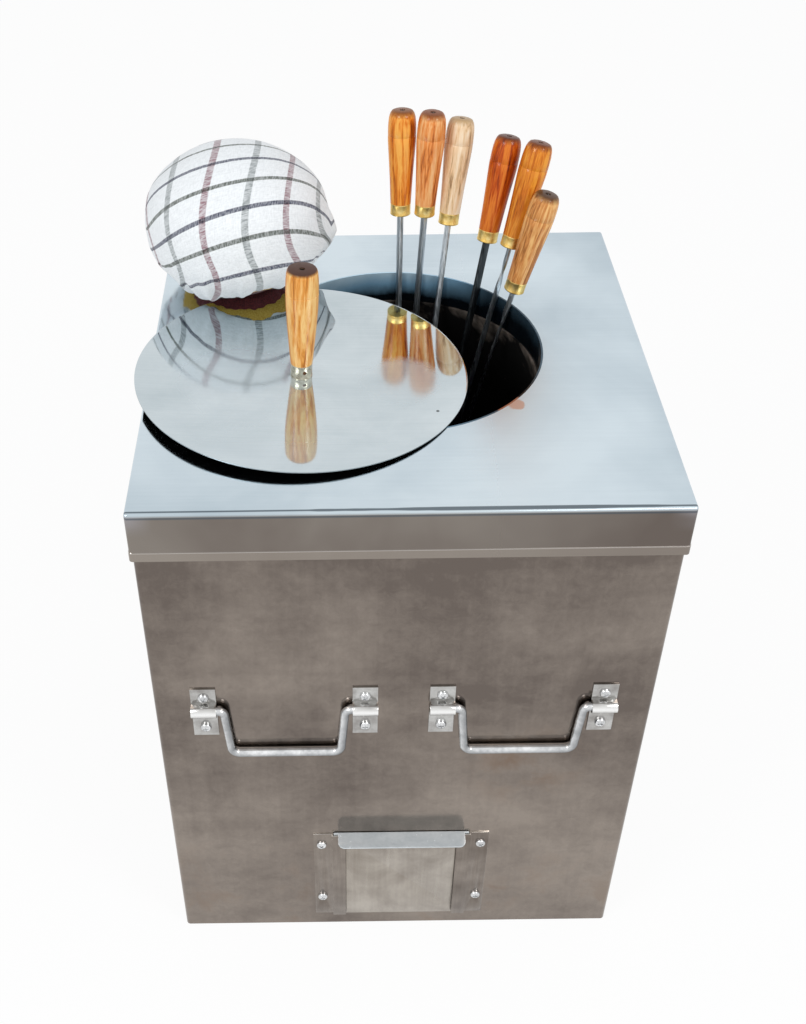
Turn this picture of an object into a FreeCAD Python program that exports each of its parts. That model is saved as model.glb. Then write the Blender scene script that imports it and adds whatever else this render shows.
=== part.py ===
import FreeCAD, Part
import Sketcher
import math
import os

# Square charcoal tandoor: a clay pot in a sheet-steel case, with a loose dished lid, six skewers that stand
# in the mouth and a round cloth pad. Millimetres. The origin is the middle of the case on the floor,
# +Z is up and the ash door faces -Y.

Vector = FreeCAD.Vector
Rotation = FreeCAD.Rotation
Placement = FreeCAD.Placement

doc = FreeCAD.newDocument("tandoor")
dims = doc.addObject("Spreadsheet::Sheet", "dims")

SIZES = [
    # case
    ("oven_height", 520.0),
    ("shell_width", 402.4),
    ("shell_sheet", 1.2),
    ("shell_corner", 4.0),
    ("base_sheet", 1.5),
    ("base_flange", 15.0),
    ("base_fit", 0.2),
    # top cover and the collar that lines its mouth
    ("cover_sheet", 1.5),
    ("cover_fit", 0.3),
    ("cover_corner", 2.5),
    ("cover_edge", 2.0),
    ("skirt_drop", 44.0),
    ("hem_height", 8.0),
    ("hem_proud", 0.5),
    ("mouth_radius", 119.2),
    ("mouth_setback", 11.0),
    ("collar_sheet", 1.5),
    ("collar_depth", 28.0),
    # clay pot, the wool round it and the chute to its air hole
    ("pot_wall", 22.0),
    ("pot_floor", 22.0),
    ("pot_belly", 143.0),
    ("pot_foot", 116.0),
    ("pot_bed", 6.5),
    ("pot_rim_joint", 0.8),
    ("pot_rim_step", 1.2),
    ("wool_gap", 4.5),
    ("wool_fit", 0.5),
    ("chute_width", 72.0),
    ("chute_height", 76.0),
    ("chute_sheet", 1.2),
    ("chute_fit", 0.5),
    ("chute_length", 66.0),
    # ash door and its guides, fitted a little to the right of the middle
    ("door_offset", 2.3),
    ("guide_bottom", 18.0),
    ("guide_height", 124.5),
    ("guide_sheet", 1.2),
    ("guide_flange", 17.7),
    ("guide_lip", 12.2),
    ("guide_screw_inset", 7.0),
    ("guide_screw_low", 28.0),
    ("guide_screw_high", 109.0),
    ("door_width", 120.8),
    ("door_sheet", 1.5),
    ("door_play", 0.4),
    ("door_clear", 0.5),
    ("ledge_width", 113.0),
    ("ledge_reach", 17.0),
    ("ledge_corner", 6.0),
    # bail handles
    ("bail_spacing", 192.0),
    ("bail_rod", 7.0),
    ("bail_axis_height", 314.5),
    ("bail_drop", 52.0),
    ("bail_span", 150.0),
    ("bail_shoulder", 98.0),
    ("bail_grip", 90.0),
    ("bail_shoulder_bend", 5.5),
    ("bail_grip_bend", 7.5),
    ("bail_stand_off", 1.5),
    ("saddle_offset", 65.0),
    ("saddle_width", 20.5),
    ("saddle_height", 55.0),
    ("saddle_drop", 5.5),
    ("saddle_sheet", 1.5),
    ("saddle_fit", 0.35),
    ("saddle_screw_pitch", 35.0),
    # round-head screws
    ("screw_head", 9.0),
    ("screw_head_height", 3.0),
    ("screw_shank", 4.0),
    ("screw_grip", 4.6),
    ("screw_fit", 0.15),
    # lid
    ("lid_radius", 133.5),
    ("lid_dish", 3.6),
    ("lid_sheet", 1.2),
    ("lid_shift_x", -79.0),
    ("lid_shift_y", -42.0),
    ("lid_gap", 0.3),
    ("lid_bolt", 5.0),
    ("lid_bolt_depth", 36.0),
    ("lid_bolt_head", 12.0),
    ("lid_bolt_head_height", 3.5),
    ("lid_ferrule_height", 12.0),
    ("lid_ferrule_radius", 8.8),
    ("lid_handle_height", 95.8),
    ("lid_handle_radius", 13.0),
    ("lid_handle_top", 11.2),
    ("lid_handle_swell", 70.0),
    ("ferrule_sheet", 0.7),
    ("grip_fit", 0.1),
    ("tang_fit", 0.2),
    # skewers
    ("skewer_above", 122.0),
    ("skewer_point", 22.0),
    ("skewer_tip", 0.8),
    ("skewer_grip", 91.0),
    ("skewer_tang", 45.0),
    ("skewer_square", 4.2),
    ("skewer_wide", 6.2),
    ("skewer_wide_sheet", 3.0),
    ("skewer_thin", 4.4),
    ("skewer_thin_sheet", 2.2),
    ("skewer_twist_drop", 15.0),
    ("skewer_twist", 24.0),
    ("skewer_twist_turn", 90.0),
    ("skewer_stand", 0.3),
    ("skewer_rim_gap", 3.7),
    ("grip_radius", 12.0),
    ("grip_top", 9.6),
    ("grip_swell", 64.0),
    ("grip_ferrule_height", 10.0),
    ("grip_ferrule_radius", 8.9),
    # bread pad
    ("pad_x", -135.0),
    ("pad_y", 119.0),
    ("pad_radius", 84.0),
    ("pad_height", 121.0),
    ("pad_belly", 56.0),
    ("pad_foot", 52.0),
    ("pad_base_radius", 48.0),
    ("pad_base_cloth", 1.6),
    ("pad_binding", 4.0),
    ("pad_tilt", 2.8),
    ("pad_gap", 0.3),
]

# Where each skewer leans on the mouth, in degrees round it from +X; where its point stands on the floor of
# the pot, measured from the middle of the mouth in shares of the floor's radius; how far it is turned about
# itself; and its length as a share of the usual one.
SKEWERS = [
    ("square", 86.3, 0.061, 0.589, 30.0, 0.999),
    ("square", 77.3, 0.029, 0.828, 40.0, 1.0),
    ("square", 67.4, -0.025, 0.210, 15.0, 1.0),
    ("wide", 49.9, -0.042, 0.085, 35.0, 0.995),
    ("thin", 39.4, -0.171, 0.072, 20.0, 1.006),
    ("thin", 30.8, -0.146, 0.453, 60.0, 0.952),
]
SKEWER_COLUMNS = (("D", "angle"), ("E", "foot_x"), ("F", "foot_y"), ("G", "turn"), ("H", "share"))

for row, (alias, number) in enumerate(SIZES, start=1):
    dims.set("A%d" % row, alias)
    dims.set("B%d" % row, str(number))
    dims.setAlias("B%d" % row, alias)
for number, (kind, *amounts) in enumerate(SKEWERS, start=1):
    for (column, word), amount in zip(SKEWER_COLUMNS, amounts):
        cell = "%s%d" % (column, number)
        dims.set(cell, str(amount))
        dims.setAlias(cell, "skewer_%d_%s" % (number, word))
doc.recompute()


def value(expression):
    """The number that an expression on the sheet comes to."""
    return float(dims.evalExpression(expression))


# Sketches whose points are tied to the sheet

def new_body(label):
    body = doc.addObject("PartDesign::Body", label)
    body.Label = label
    return body


def origin_feature(body, role):
    return [feature for feature in body.Origin.OriginFeatures if feature.Role == role][0]


def new_sketch(body, plane, name, offset=None):
    """A sketch on one of the body's own planes, moved along the plane's normal by an expression."""
    sketch = body.newObject("Sketcher::SketchObject", body.Label + "_" + name)
    sketch.AttachmentSupport = [(origin_feature(body, plane), "")]
    sketch.MapMode = "FlatFace"
    if offset is not None:
        sketch.setExpression("AttachmentOffset.Base.z", offset)
    return sketch


def pin(sketch, geometry, point, x, y):
    """Ties a point of the sketch to two expressions."""
    for kind, axis, expression in (("DistanceX", -2, x), ("DistanceY", -1, y)):
        if expression == "0":
            sketch.addConstraint(Sketcher.Constraint("PointOnObject", geometry, point, axis))
            continue
        index = sketch.addConstraint(
            Sketcher.Constraint(kind, -1, 1, geometry, point, value(expression)))
        sketch.setExpression("Constraints[%d]" % index, expression)


def outline(sketch, corners):
    """A closed outline through corners (x, y). A corner with a third item starts an arc through that point."""
    points = [Vector(value(corner[0]), value(corner[1]), 0) for corner in corners]
    runs = []
    for index, corner in enumerate(corners):
        start = points[index]
        end = points[(index + 1) % len(points)]
        if len(corner) == 2:
            runs.append((sketch.addGeometry(Part.LineSegment(start, end)), 1, 2))
            continue
        middle = Vector(value(corner[2][0]), value(corner[2][1]), 0)
        turns_left = (middle - start).cross(end - middle).z > 0
        if turns_left:
            runs.append((sketch.addGeometry(Part.Arc(start, middle, end)), 1, 2))
        else:
            runs.append((sketch.addGeometry(Part.Arc(end, middle, start)), 2, 1))
    for index, corner in enumerate(corners):
        geometry, first, last = runs[index]
        following, following_first, _ = runs[(index + 1) % len(runs)]
        pin(sketch, geometry, first, corner[0], corner[1])
        sketch.addConstraint(
            Sketcher.Constraint("Coincident", geometry, last, following, following_first))
        if len(corner) == 3:
            middle = Vector(value(corner[2][0]), value(corner[2][1]), 0)
            mark = sketch.addGeometry(Part.Point(middle), True)
            pin(sketch, mark, 1, corner[2][0], corner[2][1])
            sketch.addConstraint(Sketcher.Constraint("PointOnObject", mark, 1, geometry))


def rectangle(sketch, left, right, bottom, top):
    outline(sketch, [(left, bottom), (right, bottom), (right, top), (left, top)])


def rounded_square(sketch, half, radius):
    """A square about the origin with rounded corners."""
    flat = "(%s) - (%s)" % (half, radius)
    knee = "(%s) - (%s) * (1 - sqrt(0.5))" % (half, radius)
    corners = []
    for sx, sy in ((1, 1), (-1, 1), (-1, -1), (1, -1)):
        side = ("%d * (%s)" % (sx, half), "%d * (%s)" % (sy, flat))
        end = ("%d * (%s)" % (sx, flat), "%d * (%s)" % (sy, half))
        mid = ("%d * (%s)" % (sx, knee), "%d * (%s)" % (sy, knee))
        if sx * sy > 0:
            corners += [side + (mid,), end]
        else:
            corners += [end + (mid,), side]
    outline(sketch, corners)


def circle(sketch, x, y, radius):
    centre = Vector(value(x), value(y), 0)
    geometry = sketch.addGeometry(Part.Circle(centre, Vector(0, 0, 1), value(radius)))
    pin(sketch, geometry, 3, x, y)
    index = sketch.addConstraint(Sketcher.Constraint("Radius", geometry, value(radius)))
    sketch.setExpression("Constraints[%d]" % index, radius)


# Features

def pad(body, sketch, length, reverse=False, both=False):
    feature = body.newObject("PartDesign::Pad", sketch.Label + "_pad")
    feature.Profile = sketch
    feature.setExpression("Length", length)
    feature.Reversed = reverse
    if both:
        feature.SideType = "Symmetric"
    doc.recompute()
    return feature


def pocket(body, sketch, length, reverse=False, both=False):
    """Cuts the sketch into the body and makes sure that it took something away."""
    before = body.Shape.Volume
    feature = body.newObject("PartDesign::Pocket", sketch.Label + "_pocket")
    feature.Profile = sketch
    feature.setExpression("Length", length)
    feature.Reversed = reverse
    if both:
        feature.SideType = "Symmetric"
    doc.recompute()
    if body.Shape.Volume > before - 1e-3:
        raise RuntimeError("a pocket cuts nothing: " + sketch.Label)
    return feature


def turned(label, corners, lathe_plane="XZ_Plane"):
    """A body turned about its own Z axis from a profile of (radius, height) corners."""
    body = new_body(label)
    sketch = new_sketch(body, lathe_plane, "profile")
    outline(sketch, corners)
    feature = body.newObject("PartDesign::Revolution", label + "_turn")
    feature.Profile = sketch
    feature.ReferenceAxis = (sketch, ["V_Axis"])
    feature.Angle = 360.0
    doc.recompute()
    return body


def parabola(reach, rise, span):
    return "(%s) * (%s) ^ 2 / (%s) ^ 2" % (rise, reach, span)


nodes = []

# Heights and half widths that several pieces share
PANEL = "dims.shell_width / 2"
SHELL_TOP = "dims.oven_height - dims.cover_sheet"
SKIRT_BOTTOM = "dims.oven_height - dims.skirt_drop"
COVER_HALF = "dims.shell_width / 2 + dims.cover_fit + dims.cover_sheet"
COVER_CORNER = "dims.cover_corner"
COLLAR_OUTER = "dims.mouth_radius + dims.collar_sheet"
POT_BOTTOM = "dims.base_sheet + dims.pot_bed"
FLOOR = "dims.base_sheet + dims.pot_bed + dims.pot_floor"
POT_TOP = "dims.oven_height - dims.collar_depth - dims.pot_rim_joint"
POT_MOUTH = "dims.mouth_radius - dims.pot_rim_step"
CHUTE_BOTTOM = FLOOR + " + dims.chute_fit"
CHUTE_TOP = CHUTE_BOTTOM + " + dims.chute_height + 2 * dims.chute_sheet"
CHUTE_HALF = "dims.chute_width / 2 + dims.chute_sheet"
GUIDE_TOP = "dims.guide_bottom + dims.guide_height"
GUIDE_INNER = "dims.door_width / 2 + dims.door_play"
GUIDE_OUTER = GUIDE_INNER + " + dims.guide_flange"
SCREW_X = GUIDE_OUTER + " - dims.guide_screw_inset"
SCREW_HOLE = "dims.screw_shank / 2 + dims.screw_fit"
DOOR_BACK = PANEL + " + dims.door_clear"
DOOR_FACE = DOOR_BACK + " + dims.door_sheet"
LIP_BACK = DOOR_FACE + " + dims.door_clear"
BAIL_Y = PANEL + " + dims.bail_stand_off + dims.bail_rod / 2"
SADDLE_LEVELS = ["%d * dims.saddle_screw_pitch / 2 - dims.saddle_drop" % level for level in (-1, 1)]

# Case: the shell is one wrapped sheet. Its front is open at the ash chute, and both its front and its rear
# are drilled for the saddles of the bails.
shell = new_body("body_shell")
sketch = new_sketch(shell, "XY_Plane", "wrap")
rounded_square(sketch, PANEL, "dims.shell_corner")
rounded_square(sketch, PANEL + " - dims.shell_sheet", "dims.shell_corner - dims.shell_sheet")
pad(shell, sketch, SHELL_TOP)
sketch = new_sketch(shell, "XZ_Plane", "front_openings")
rectangle(sketch, "-1 * (%s + dims.chute_fit)" % CHUTE_HALF, CHUTE_HALF + " + dims.chute_fit",
          CHUTE_BOTTOM + " - dims.chute_fit", CHUTE_TOP + " + dims.chute_fit")
for side in (-1, 1):
    for height in ("dims.guide_screw_low", "dims.guide_screw_high"):
        circle(sketch, "%d * (%s) + dims.door_offset" % (side, SCREW_X), "dims.guide_bottom + " + height,
               SCREW_HOLE)
pocket(shell, sketch, "dims.shell_width", reverse=True)
sketch = new_sketch(shell, "XZ_Plane", "saddle_holes")
for side in (-1, 1):
    for end in (-1, 1):
        for level in SADDLE_LEVELS:
            circle(sketch, "%d * dims.bail_spacing / 2 + %d * dims.saddle_offset" % (side, end),
                   "dims.bail_axis_height + %s" % level, SCREW_HOLE)
pocket(shell, sketch, "2 * dims.shell_width", both=True)
nodes.append(shell)

# Base: a shallow tray welded into the foot of the shell.
base = new_body("base_plate")
half = PANEL + " - dims.shell_sheet - dims.base_fit"
corner = "dims.shell_corner - dims.shell_sheet - dims.base_fit"
sketch = new_sketch(base, "XY_Plane", "tray")
rounded_square(sketch, half, corner)
pad(base, sketch, "dims.base_sheet")
sketch = new_sketch(base, "XY_Plane", "flange")
rounded_square(sketch, half, corner)
rounded_square(sketch, half + " - dims.base_sheet", corner + " - dims.base_sheet")
pad(base, sketch, "dims.base_flange")
nodes.append(base)

# Top cover: a square cap with a skirt, folded over at its lower edge, and a round mouth.
cover = new_body("top_cover")
sketch = new_sketch(cover, "XY_Plane", "top", SHELL_TOP)
rounded_square(sketch, COVER_HALF, COVER_CORNER)
circle(sketch, "0", "dims.mouth_setback", COLLAR_OUTER)
pad(cover, sketch, "dims.cover_sheet")
sketch = new_sketch(cover, "XY_Plane", "skirt", SKIRT_BOTTOM)
rounded_square(sketch, COVER_HALF, COVER_CORNER)
rounded_square(sketch, COVER_HALF + " - dims.cover_sheet", COVER_CORNER + " - dims.cover_sheet")
pad(cover, sketch, "dims.skirt_drop - dims.cover_sheet")
sketch = new_sketch(cover, "XY_Plane", "hem", SKIRT_BOTTOM)
rounded_square(sketch, COVER_HALF + " + dims.hem_proud", COVER_CORNER + " + dims.hem_proud")
rounded_square(sketch, COVER_HALF + " - dims.cover_sheet", COVER_CORNER + " - dims.cover_sheet")
hem = pad(cover, sketch, "dims.hem_height")
top_height = value("dims.oven_height")
mouth_reach = value(COLLAR_OUTER) + 1.0
mouth_centre = Vector(0, value("dims.mouth_setback"), top_height)
bend_edges = []
for index, edge in enumerate(cover.Shape.Edges, start=1):
    box = edge.BoundBox
    flat_on_top = abs(box.ZMin - top_height) < 1e-4 and abs(box.ZMax - top_height) < 1e-4
    if flat_on_top and (edge.valueAt(edge.FirstParameter) - mouth_centre).Length > mouth_reach:
        bend_edges.append("Edge%d" % index)
bend = cover.newObject("PartDesign::Fillet", "top_cover_bend")
bend.Base = (hem, bend_edges)
bend.setExpression("Radius", "dims.cover_edge")
doc.recompute()
nodes.append(cover)

# Mouth collar: a rolled sleeve let into the hole of the cover.
collar = turned("mouth_collar", [
    ("dims.mouth_radius", "dims.oven_height - dims.collar_depth"),
    (COLLAR_OUTER, "dims.oven_height - dims.collar_depth"),
    (COLLAR_OUTER, "dims.oven_height"),
    ("dims.mouth_radius", "dims.oven_height"),
])
collar.setExpression("Placement.Base.y", "dims.mouth_setback")
nodes.append(collar)

# Clay pot: a thrown jar with a full belly, and an air hole low in its front wall.
MIDDLE = "((%s) + (%s)) / 2" % (FLOOR, POT_TOP)
pot = turned("clay_pot", [
    ("0", POT_BOTTOM),
    ("dims.pot_foot + dims.pot_wall", POT_BOTTOM, ("dims.pot_belly + dims.pot_wall", MIDDLE)),
    (POT_MOUTH + " + dims.pot_wall", POT_TOP),
    (POT_MOUTH, POT_TOP, ("dims.pot_belly", MIDDLE)),
    ("dims.pot_foot", FLOOR),
    ("0", FLOOR),
])
sketch = new_sketch(pot, "XZ_Plane", "air_hole")
rectangle(sketch, "-1 * (%s + dims.chute_fit)" % CHUTE_HALF, CHUTE_HALF + " + dims.chute_fit",
          FLOOR, CHUTE_TOP + " + dims.chute_fit")
pocket(pot, sketch, "2 * dims.pot_belly", reverse=True)
pot.setExpression("Placement.Base.y", "dims.mouth_setback")
nodes.append(pot)

# Mineral wool: fills the case round the pot, hollowed to the pot and let out for the chute.
wool = new_body("insulation")
half = PANEL + " - dims.shell_sheet - dims.wool_gap"
sketch = new_sketch(wool, "XY_Plane", "block", "dims.base_sheet")
rectangle(sketch, "-1 * (%s)" % half, half, "-1 * (%s)" % half, half)
pad(wool, sketch, POT_TOP + " - dims.base_sheet - dims.pot_rim_joint")
sketch = new_sketch(wool, "XZ_Plane", "hollow", "-1 * dims.mouth_setback")
outline(sketch, [
    ("0", POT_BOTTOM),
    ("dims.pot_foot + dims.pot_wall + dims.wool_fit", POT_BOTTOM,
     ("dims.pot_belly + dims.pot_wall + dims.wool_fit", MIDDLE)),
    (POT_MOUTH + " + dims.pot_wall + dims.wool_fit", POT_TOP),
    ("0", POT_TOP),
])
before = wool.Shape.Volume
groove = wool.newObject("PartDesign::Groove", "insulation_hollow")
groove.Profile = sketch
groove.ReferenceAxis = (sketch, ["V_Axis"])
groove.Angle = 360.0
doc.recompute()
if wool.Shape.Volume > 0.9 * before:
    raise RuntimeError("the wool isn't hollowed")
sketch = new_sketch(wool, "XZ_Plane", "chute_way")
rectangle(sketch, "-1 * (%s + dims.chute_fit)" % CHUTE_HALF, CHUTE_HALF + " + dims.chute_fit",
          CHUTE_BOTTOM + " - dims.chute_fit", CHUTE_TOP + " + dims.chute_fit")
pocket(wool, sketch, "dims.shell_width", reverse=True)
nodes.append(wool)

# Ash chute: a folded sleeve from the opening in the shell to the air hole of the pot.
chute = new_body("ash_chute")
sketch = new_sketch(chute, "XZ_Plane", "sleeve", PANEL)
rectangle(sketch, "-1 * (%s)" % CHUTE_HALF, CHUTE_HALF, CHUTE_BOTTOM, CHUTE_TOP)
rectangle(sketch, "-1 * dims.chute_width / 2", "dims.chute_width / 2",
          CHUTE_BOTTOM + " + dims.chute_sheet", CHUTE_TOP + " - dims.chute_sheet")
pad(chute, sketch, "dims.chute_length", reverse=True)
nodes.append(chute)


# Door guides: Z-section strips. The flange is screwed to the front and the lip keeps the door to it.
def door_guide(label, side):
    body = new_body(label)
    sketch = new_sketch(body, "XY_Plane", "section", "dims.guide_bottom")
    section = [
        (GUIDE_OUTER, PANEL),
        (GUIDE_INNER, PANEL),
        (GUIDE_INNER, LIP_BACK),
        (GUIDE_INNER + " + dims.guide_sheet - dims.guide_lip", LIP_BACK),
        (GUIDE_INNER + " + dims.guide_sheet - dims.guide_lip", LIP_BACK + " + dims.guide_sheet"),
        (GUIDE_INNER + " + dims.guide_sheet", LIP_BACK + " + dims.guide_sheet"),
        (GUIDE_INNER + " + dims.guide_sheet", PANEL + " + dims.guide_sheet"),
        (GUIDE_OUTER, PANEL + " + dims.guide_sheet"),
    ]
    outline(sketch, [("%d * (%s)" % (side, x), "-1 * (%s)" % y) for x, y in section])
    pad(body, sketch, "dims.guide_height")
    sketch = new_sketch(body, "XZ_Plane", "screw_holes")
    for height in ("dims.guide_screw_low", "dims.guide_screw_high"):
        circle(sketch, "%d * (%s)" % (side, SCREW_X), "dims.guide_bottom + " + height, SCREW_HOLE)
    pocket(body, sketch, "dims.shell_width", reverse=True)
    body.setExpression("Placement.Base.x", "dims.door_offset")
    return body


nodes.append(door_guide("door_guide_left", -1))
nodes.append(door_guide("door_guide_right", 1))

# Ash door: a plate whose top is folded out as a finger ledge. The ledge stands on the tops of the guides.
door = new_body("ash_door")
sketch = new_sketch(door, "XY_Plane", "plate", "dims.guide_bottom + dims.door_clear")
rectangle(sketch, "-1 * dims.door_width / 2", "dims.door_width / 2",
          "-1 * (%s)" % DOOR_FACE, "-1 * (%s)" % DOOR_BACK)
pad(door, sketch, "dims.guide_height - dims.door_clear + dims.door_sheet")
sketch = new_sketch(door, "XY_Plane", "ledge", GUIDE_TOP)
LEDGE_HALF = "dims.ledge_width / 2"
LEDGE_FLAT = "dims.ledge_width / 2 - dims.ledge_corner"
LEDGE_KNEE = "dims.ledge_width / 2 - dims.ledge_corner * (1 - sqrt(0.5))"
LEDGE_FRONT = "-1 * (%s + dims.ledge_reach)" % PANEL
LEDGE_TURN = "-1 * (%s + dims.ledge_reach - dims.ledge_corner)" % PANEL
LEDGE_BEND = "-1 * (%s + dims.ledge_reach - dims.ledge_corner * (1 - sqrt(0.5)))" % PANEL
outline(sketch, [
    ("-1 * (%s)" % LEDGE_HALF, "-1 * (%s)" % DOOR_BACK),
    ("-1 * (%s)" % LEDGE_HALF, LEDGE_TURN, ("-1 * (%s)" % LEDGE_KNEE, LEDGE_BEND)),
    ("-1 * (%s)" % LEDGE_FLAT, LEDGE_FRONT),
    (LEDGE_FLAT, LEDGE_FRONT, (LEDGE_KNEE, LEDGE_BEND)),
    (LEDGE_HALF, LEDGE_TURN),
    (LEDGE_HALF, "-1 * (%s)" % DOOR_BACK),
])
pad(door, sketch, "dims.door_sheet")
door.setExpression("Placement.Base.x", "dims.door_offset")
nodes.append(door)


# Round-head screws, as one group for each piece that they hold.
def screw_group(label, seats, direction):
    """Screws whose heads stand on the seats and whose shanks run along a direction."""
    head = value("dims.screw_head") / 2
    rise = value("dims.screw_head_height")
    shank = value("dims.screw_shank") / 2
    grip = value("dims.screw_grip")
    rim = 0.3 * rise
    ball = (head ** 2 + (rise - rim) ** 2) / (2 * (rise - rim))
    half_way = math.asin(head / ball) / 2
    crest = Vector(ball * math.sin(half_way), 0, rise - ball + ball * math.cos(half_way))
    dome = Part.Arc(Vector(head, 0, rim), crest, Vector(0, 0, rise))
    corners = [Vector(0, 0, rise), Vector(0, 0, -grip), Vector(shank, 0, -grip), Vector(shank, 0, 0),
               Vector(head, 0, 0), Vector(head, 0, rim)]
    edges = [Part.LineSegment(a, b).toShape() for a, b in zip(corners, corners[1:])]
    profile = Part.Face(Part.Wire(edges + [dome.toShape()]))
    screw = profile.revolve(Vector(0, 0, 0), Vector(0, 0, 1), 360)
    turn = Rotation(Vector(0, 0, -1), direction)
    copies = []
    for seat in seats:
        copy = screw.copy()
        copy.Placement = Placement(seat, turn)
        copies.append(copy)
    group = doc.addObject("Part::Feature", label)
    group.Label = label
    group.Shape = Part.makeCompound(copies)
    return group


guide_seats = []
for side in (-1, 1):
    for height in ("dims.guide_screw_low", "dims.guide_screw_high"):
        guide_seats.append(Vector(value("%d * (%s) + dims.door_offset" % (side, SCREW_X)),
                                  -value(PANEL + " + dims.guide_sheet"),
                                  value("dims.guide_bottom + " + height)))
nodes.append(screw_group("guide_screws", guide_seats, Vector(0, 1, 0)))


# Bail handles: a bent rod whose two ends turn in saddles. Those on the rear are the same, turned half round.
def bail_path(sketch):
    """The middle line of the rod: out of one saddle, down a leg, along the grip and back up."""
    shoulder = value("dims.bail_shoulder_bend")
    grip = value("dims.bail_grip_bend")
    low = -value("dims.bail_drop")
    corners = [
        Vector(-value("dims.bail_span") / 2, 0, 0),
        Vector(-value("dims.bail_shoulder") / 2, 0, 0),
        Vector(-value("dims.bail_grip") / 2, low, 0),
        Vector(value("dims.bail_grip") / 2, low, 0),
        Vector(value("dims.bail_shoulder") / 2, 0, 0),
        Vector(value("dims.bail_span") / 2, 0, 0),
    ]
    bends = (shoulder, grip, grip, shoulder)
    start = corners[0]
    for before, corner, after, bend in zip(corners, corners[1:], corners[2:], bends):
        back = (before - corner).normalize()
        on = (after - corner).normalize()
        half_angle = back.getAngle(on) / 2
        reach = bend / math.tan(half_angle)
        middle_way = (back + on).normalize()
        middle = corner + middle_way * (bend / math.sin(half_angle) - bend)
        sketch.addGeometry(Part.LineSegment(start, corner + back * reach))
        sketch.addGeometry(Part.Arc(corner + back * reach, middle, corner + on * reach))
        start = corner + on * reach
    sketch.addGeometry(Part.LineSegment(start, corners[-1]))


def bail(name, side, rear):
    turn = Rotation(Vector(0, 0, 1), 180 if rear else 0)
    middle = Vector(side * value("dims.bail_spacing") / 2, -value(BAIL_Y), value("dims.bail_axis_height"))
    rod = new_body("bail_" + name)
    path = new_sketch(rod, "XZ_Plane", "path")
    bail_path(path)
    section = new_sketch(rod, "YZ_Plane", "section", "-1 * dims.bail_span / 2")
    circle(section, "0", "0", "dims.bail_rod / 2")
    sweep = rod.newObject("PartDesign::AdditivePipe", "bail_%s_rod" % name)
    sweep.Profile = section
    sweep.Spine = (path, ["Edge%d" % (index + 1) for index in range(path.GeometryCount)])
    doc.recompute()
    rod.Placement = Placement(turn.multVec(middle), turn)

    # Each saddle is a strap laid over the rod: flat feet above and below, and an arch between them.
    saddles = new_body("saddles_" + name)
    saddles.AllowCompound = True
    strap = new_sketch(saddles, "YZ_Plane", "strap", "-1 * dims.saddle_offset")
    inner = "dims.bail_rod / 2 + dims.saddle_fit"
    outer = inner + " + dims.saddle_sheet"
    wall = "dims.bail_stand_off + dims.bail_rod / 2"
    foot = wall + " - dims.saddle_sheet"
    low = "-1 * (dims.saddle_height / 2 + dims.saddle_drop)"
    high = "dims.saddle_height / 2 - dims.saddle_drop"
    diagonal = " * sqrt(0.5)"
    outline(strap, [
        (wall, low),
        (wall, "-1 * (%s)" % inner),
        ("0", "-1 * (%s)" % inner, ("-1 * (%s)%s" % (inner, diagonal), "-1 * (%s)%s" % (inner, diagonal))),
        ("-1 * (%s)" % inner, "0", ("-1 * (%s)%s" % (inner, diagonal), "(%s)%s" % (inner, diagonal))),
        ("0", inner),
        (wall, inner),
        (wall, high),
        (foot, high),
        (foot, outer),
        ("0", outer, ("-1 * (%s)%s" % (outer, diagonal), "(%s)%s" % (outer, diagonal))),
        ("-1 * (%s)" % outer, "0", ("-1 * (%s)%s" % (outer, diagonal), "-1 * (%s)%s" % (outer, diagonal))),
        ("0", "-1 * (%s)" % outer),
        (foot, "-1 * (%s)" % outer),
        (foot, low),
    ])
    first = pad(saddles, strap, "dims.saddle_width", both=True)
    holes = new_sketch(saddles, "XZ_Plane", "holes")
    for level in SADDLE_LEVELS:
        circle(holes, "-1 * dims.saddle_offset", level, SCREW_HOLE)
    drilled = pocket(saddles, holes, "4 * dims.bail_rod", both=True)
    pair = saddles.newObject("PartDesign::LinearPattern", "saddles_%s_pair" % name)
    pair.Originals = [first, drilled]
    pair.Direction = (origin_feature(saddles, "X_Axis"), [""])
    pair.Occurrences = 2
    pair.setExpression("Length", "2 * dims.saddle_offset")
    saddles.Tip = pair
    doc.recompute()
    saddles.Placement = Placement(turn.multVec(middle), turn)

    seats = []
    for end in (-1, 1):
        for level in SADDLE_LEVELS:
            seat = Vector(middle.x + end * value("dims.saddle_offset"),
                          -value(PANEL + " + dims.saddle_sheet"),
                          middle.z + value(level))
            seats.append(turn.multVec(seat))
    screws = screw_group("saddle_screws_" + name, seats, turn.multVec(Vector(0, 1, 0)))
    return [rod, saddles, screws]


nodes += bail("front_left", -1, False)
nodes += bail("front_right", 1, False)
nodes += bail("rear_left", 1, True)
nodes += bail("rear_right", -1, True)

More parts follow.
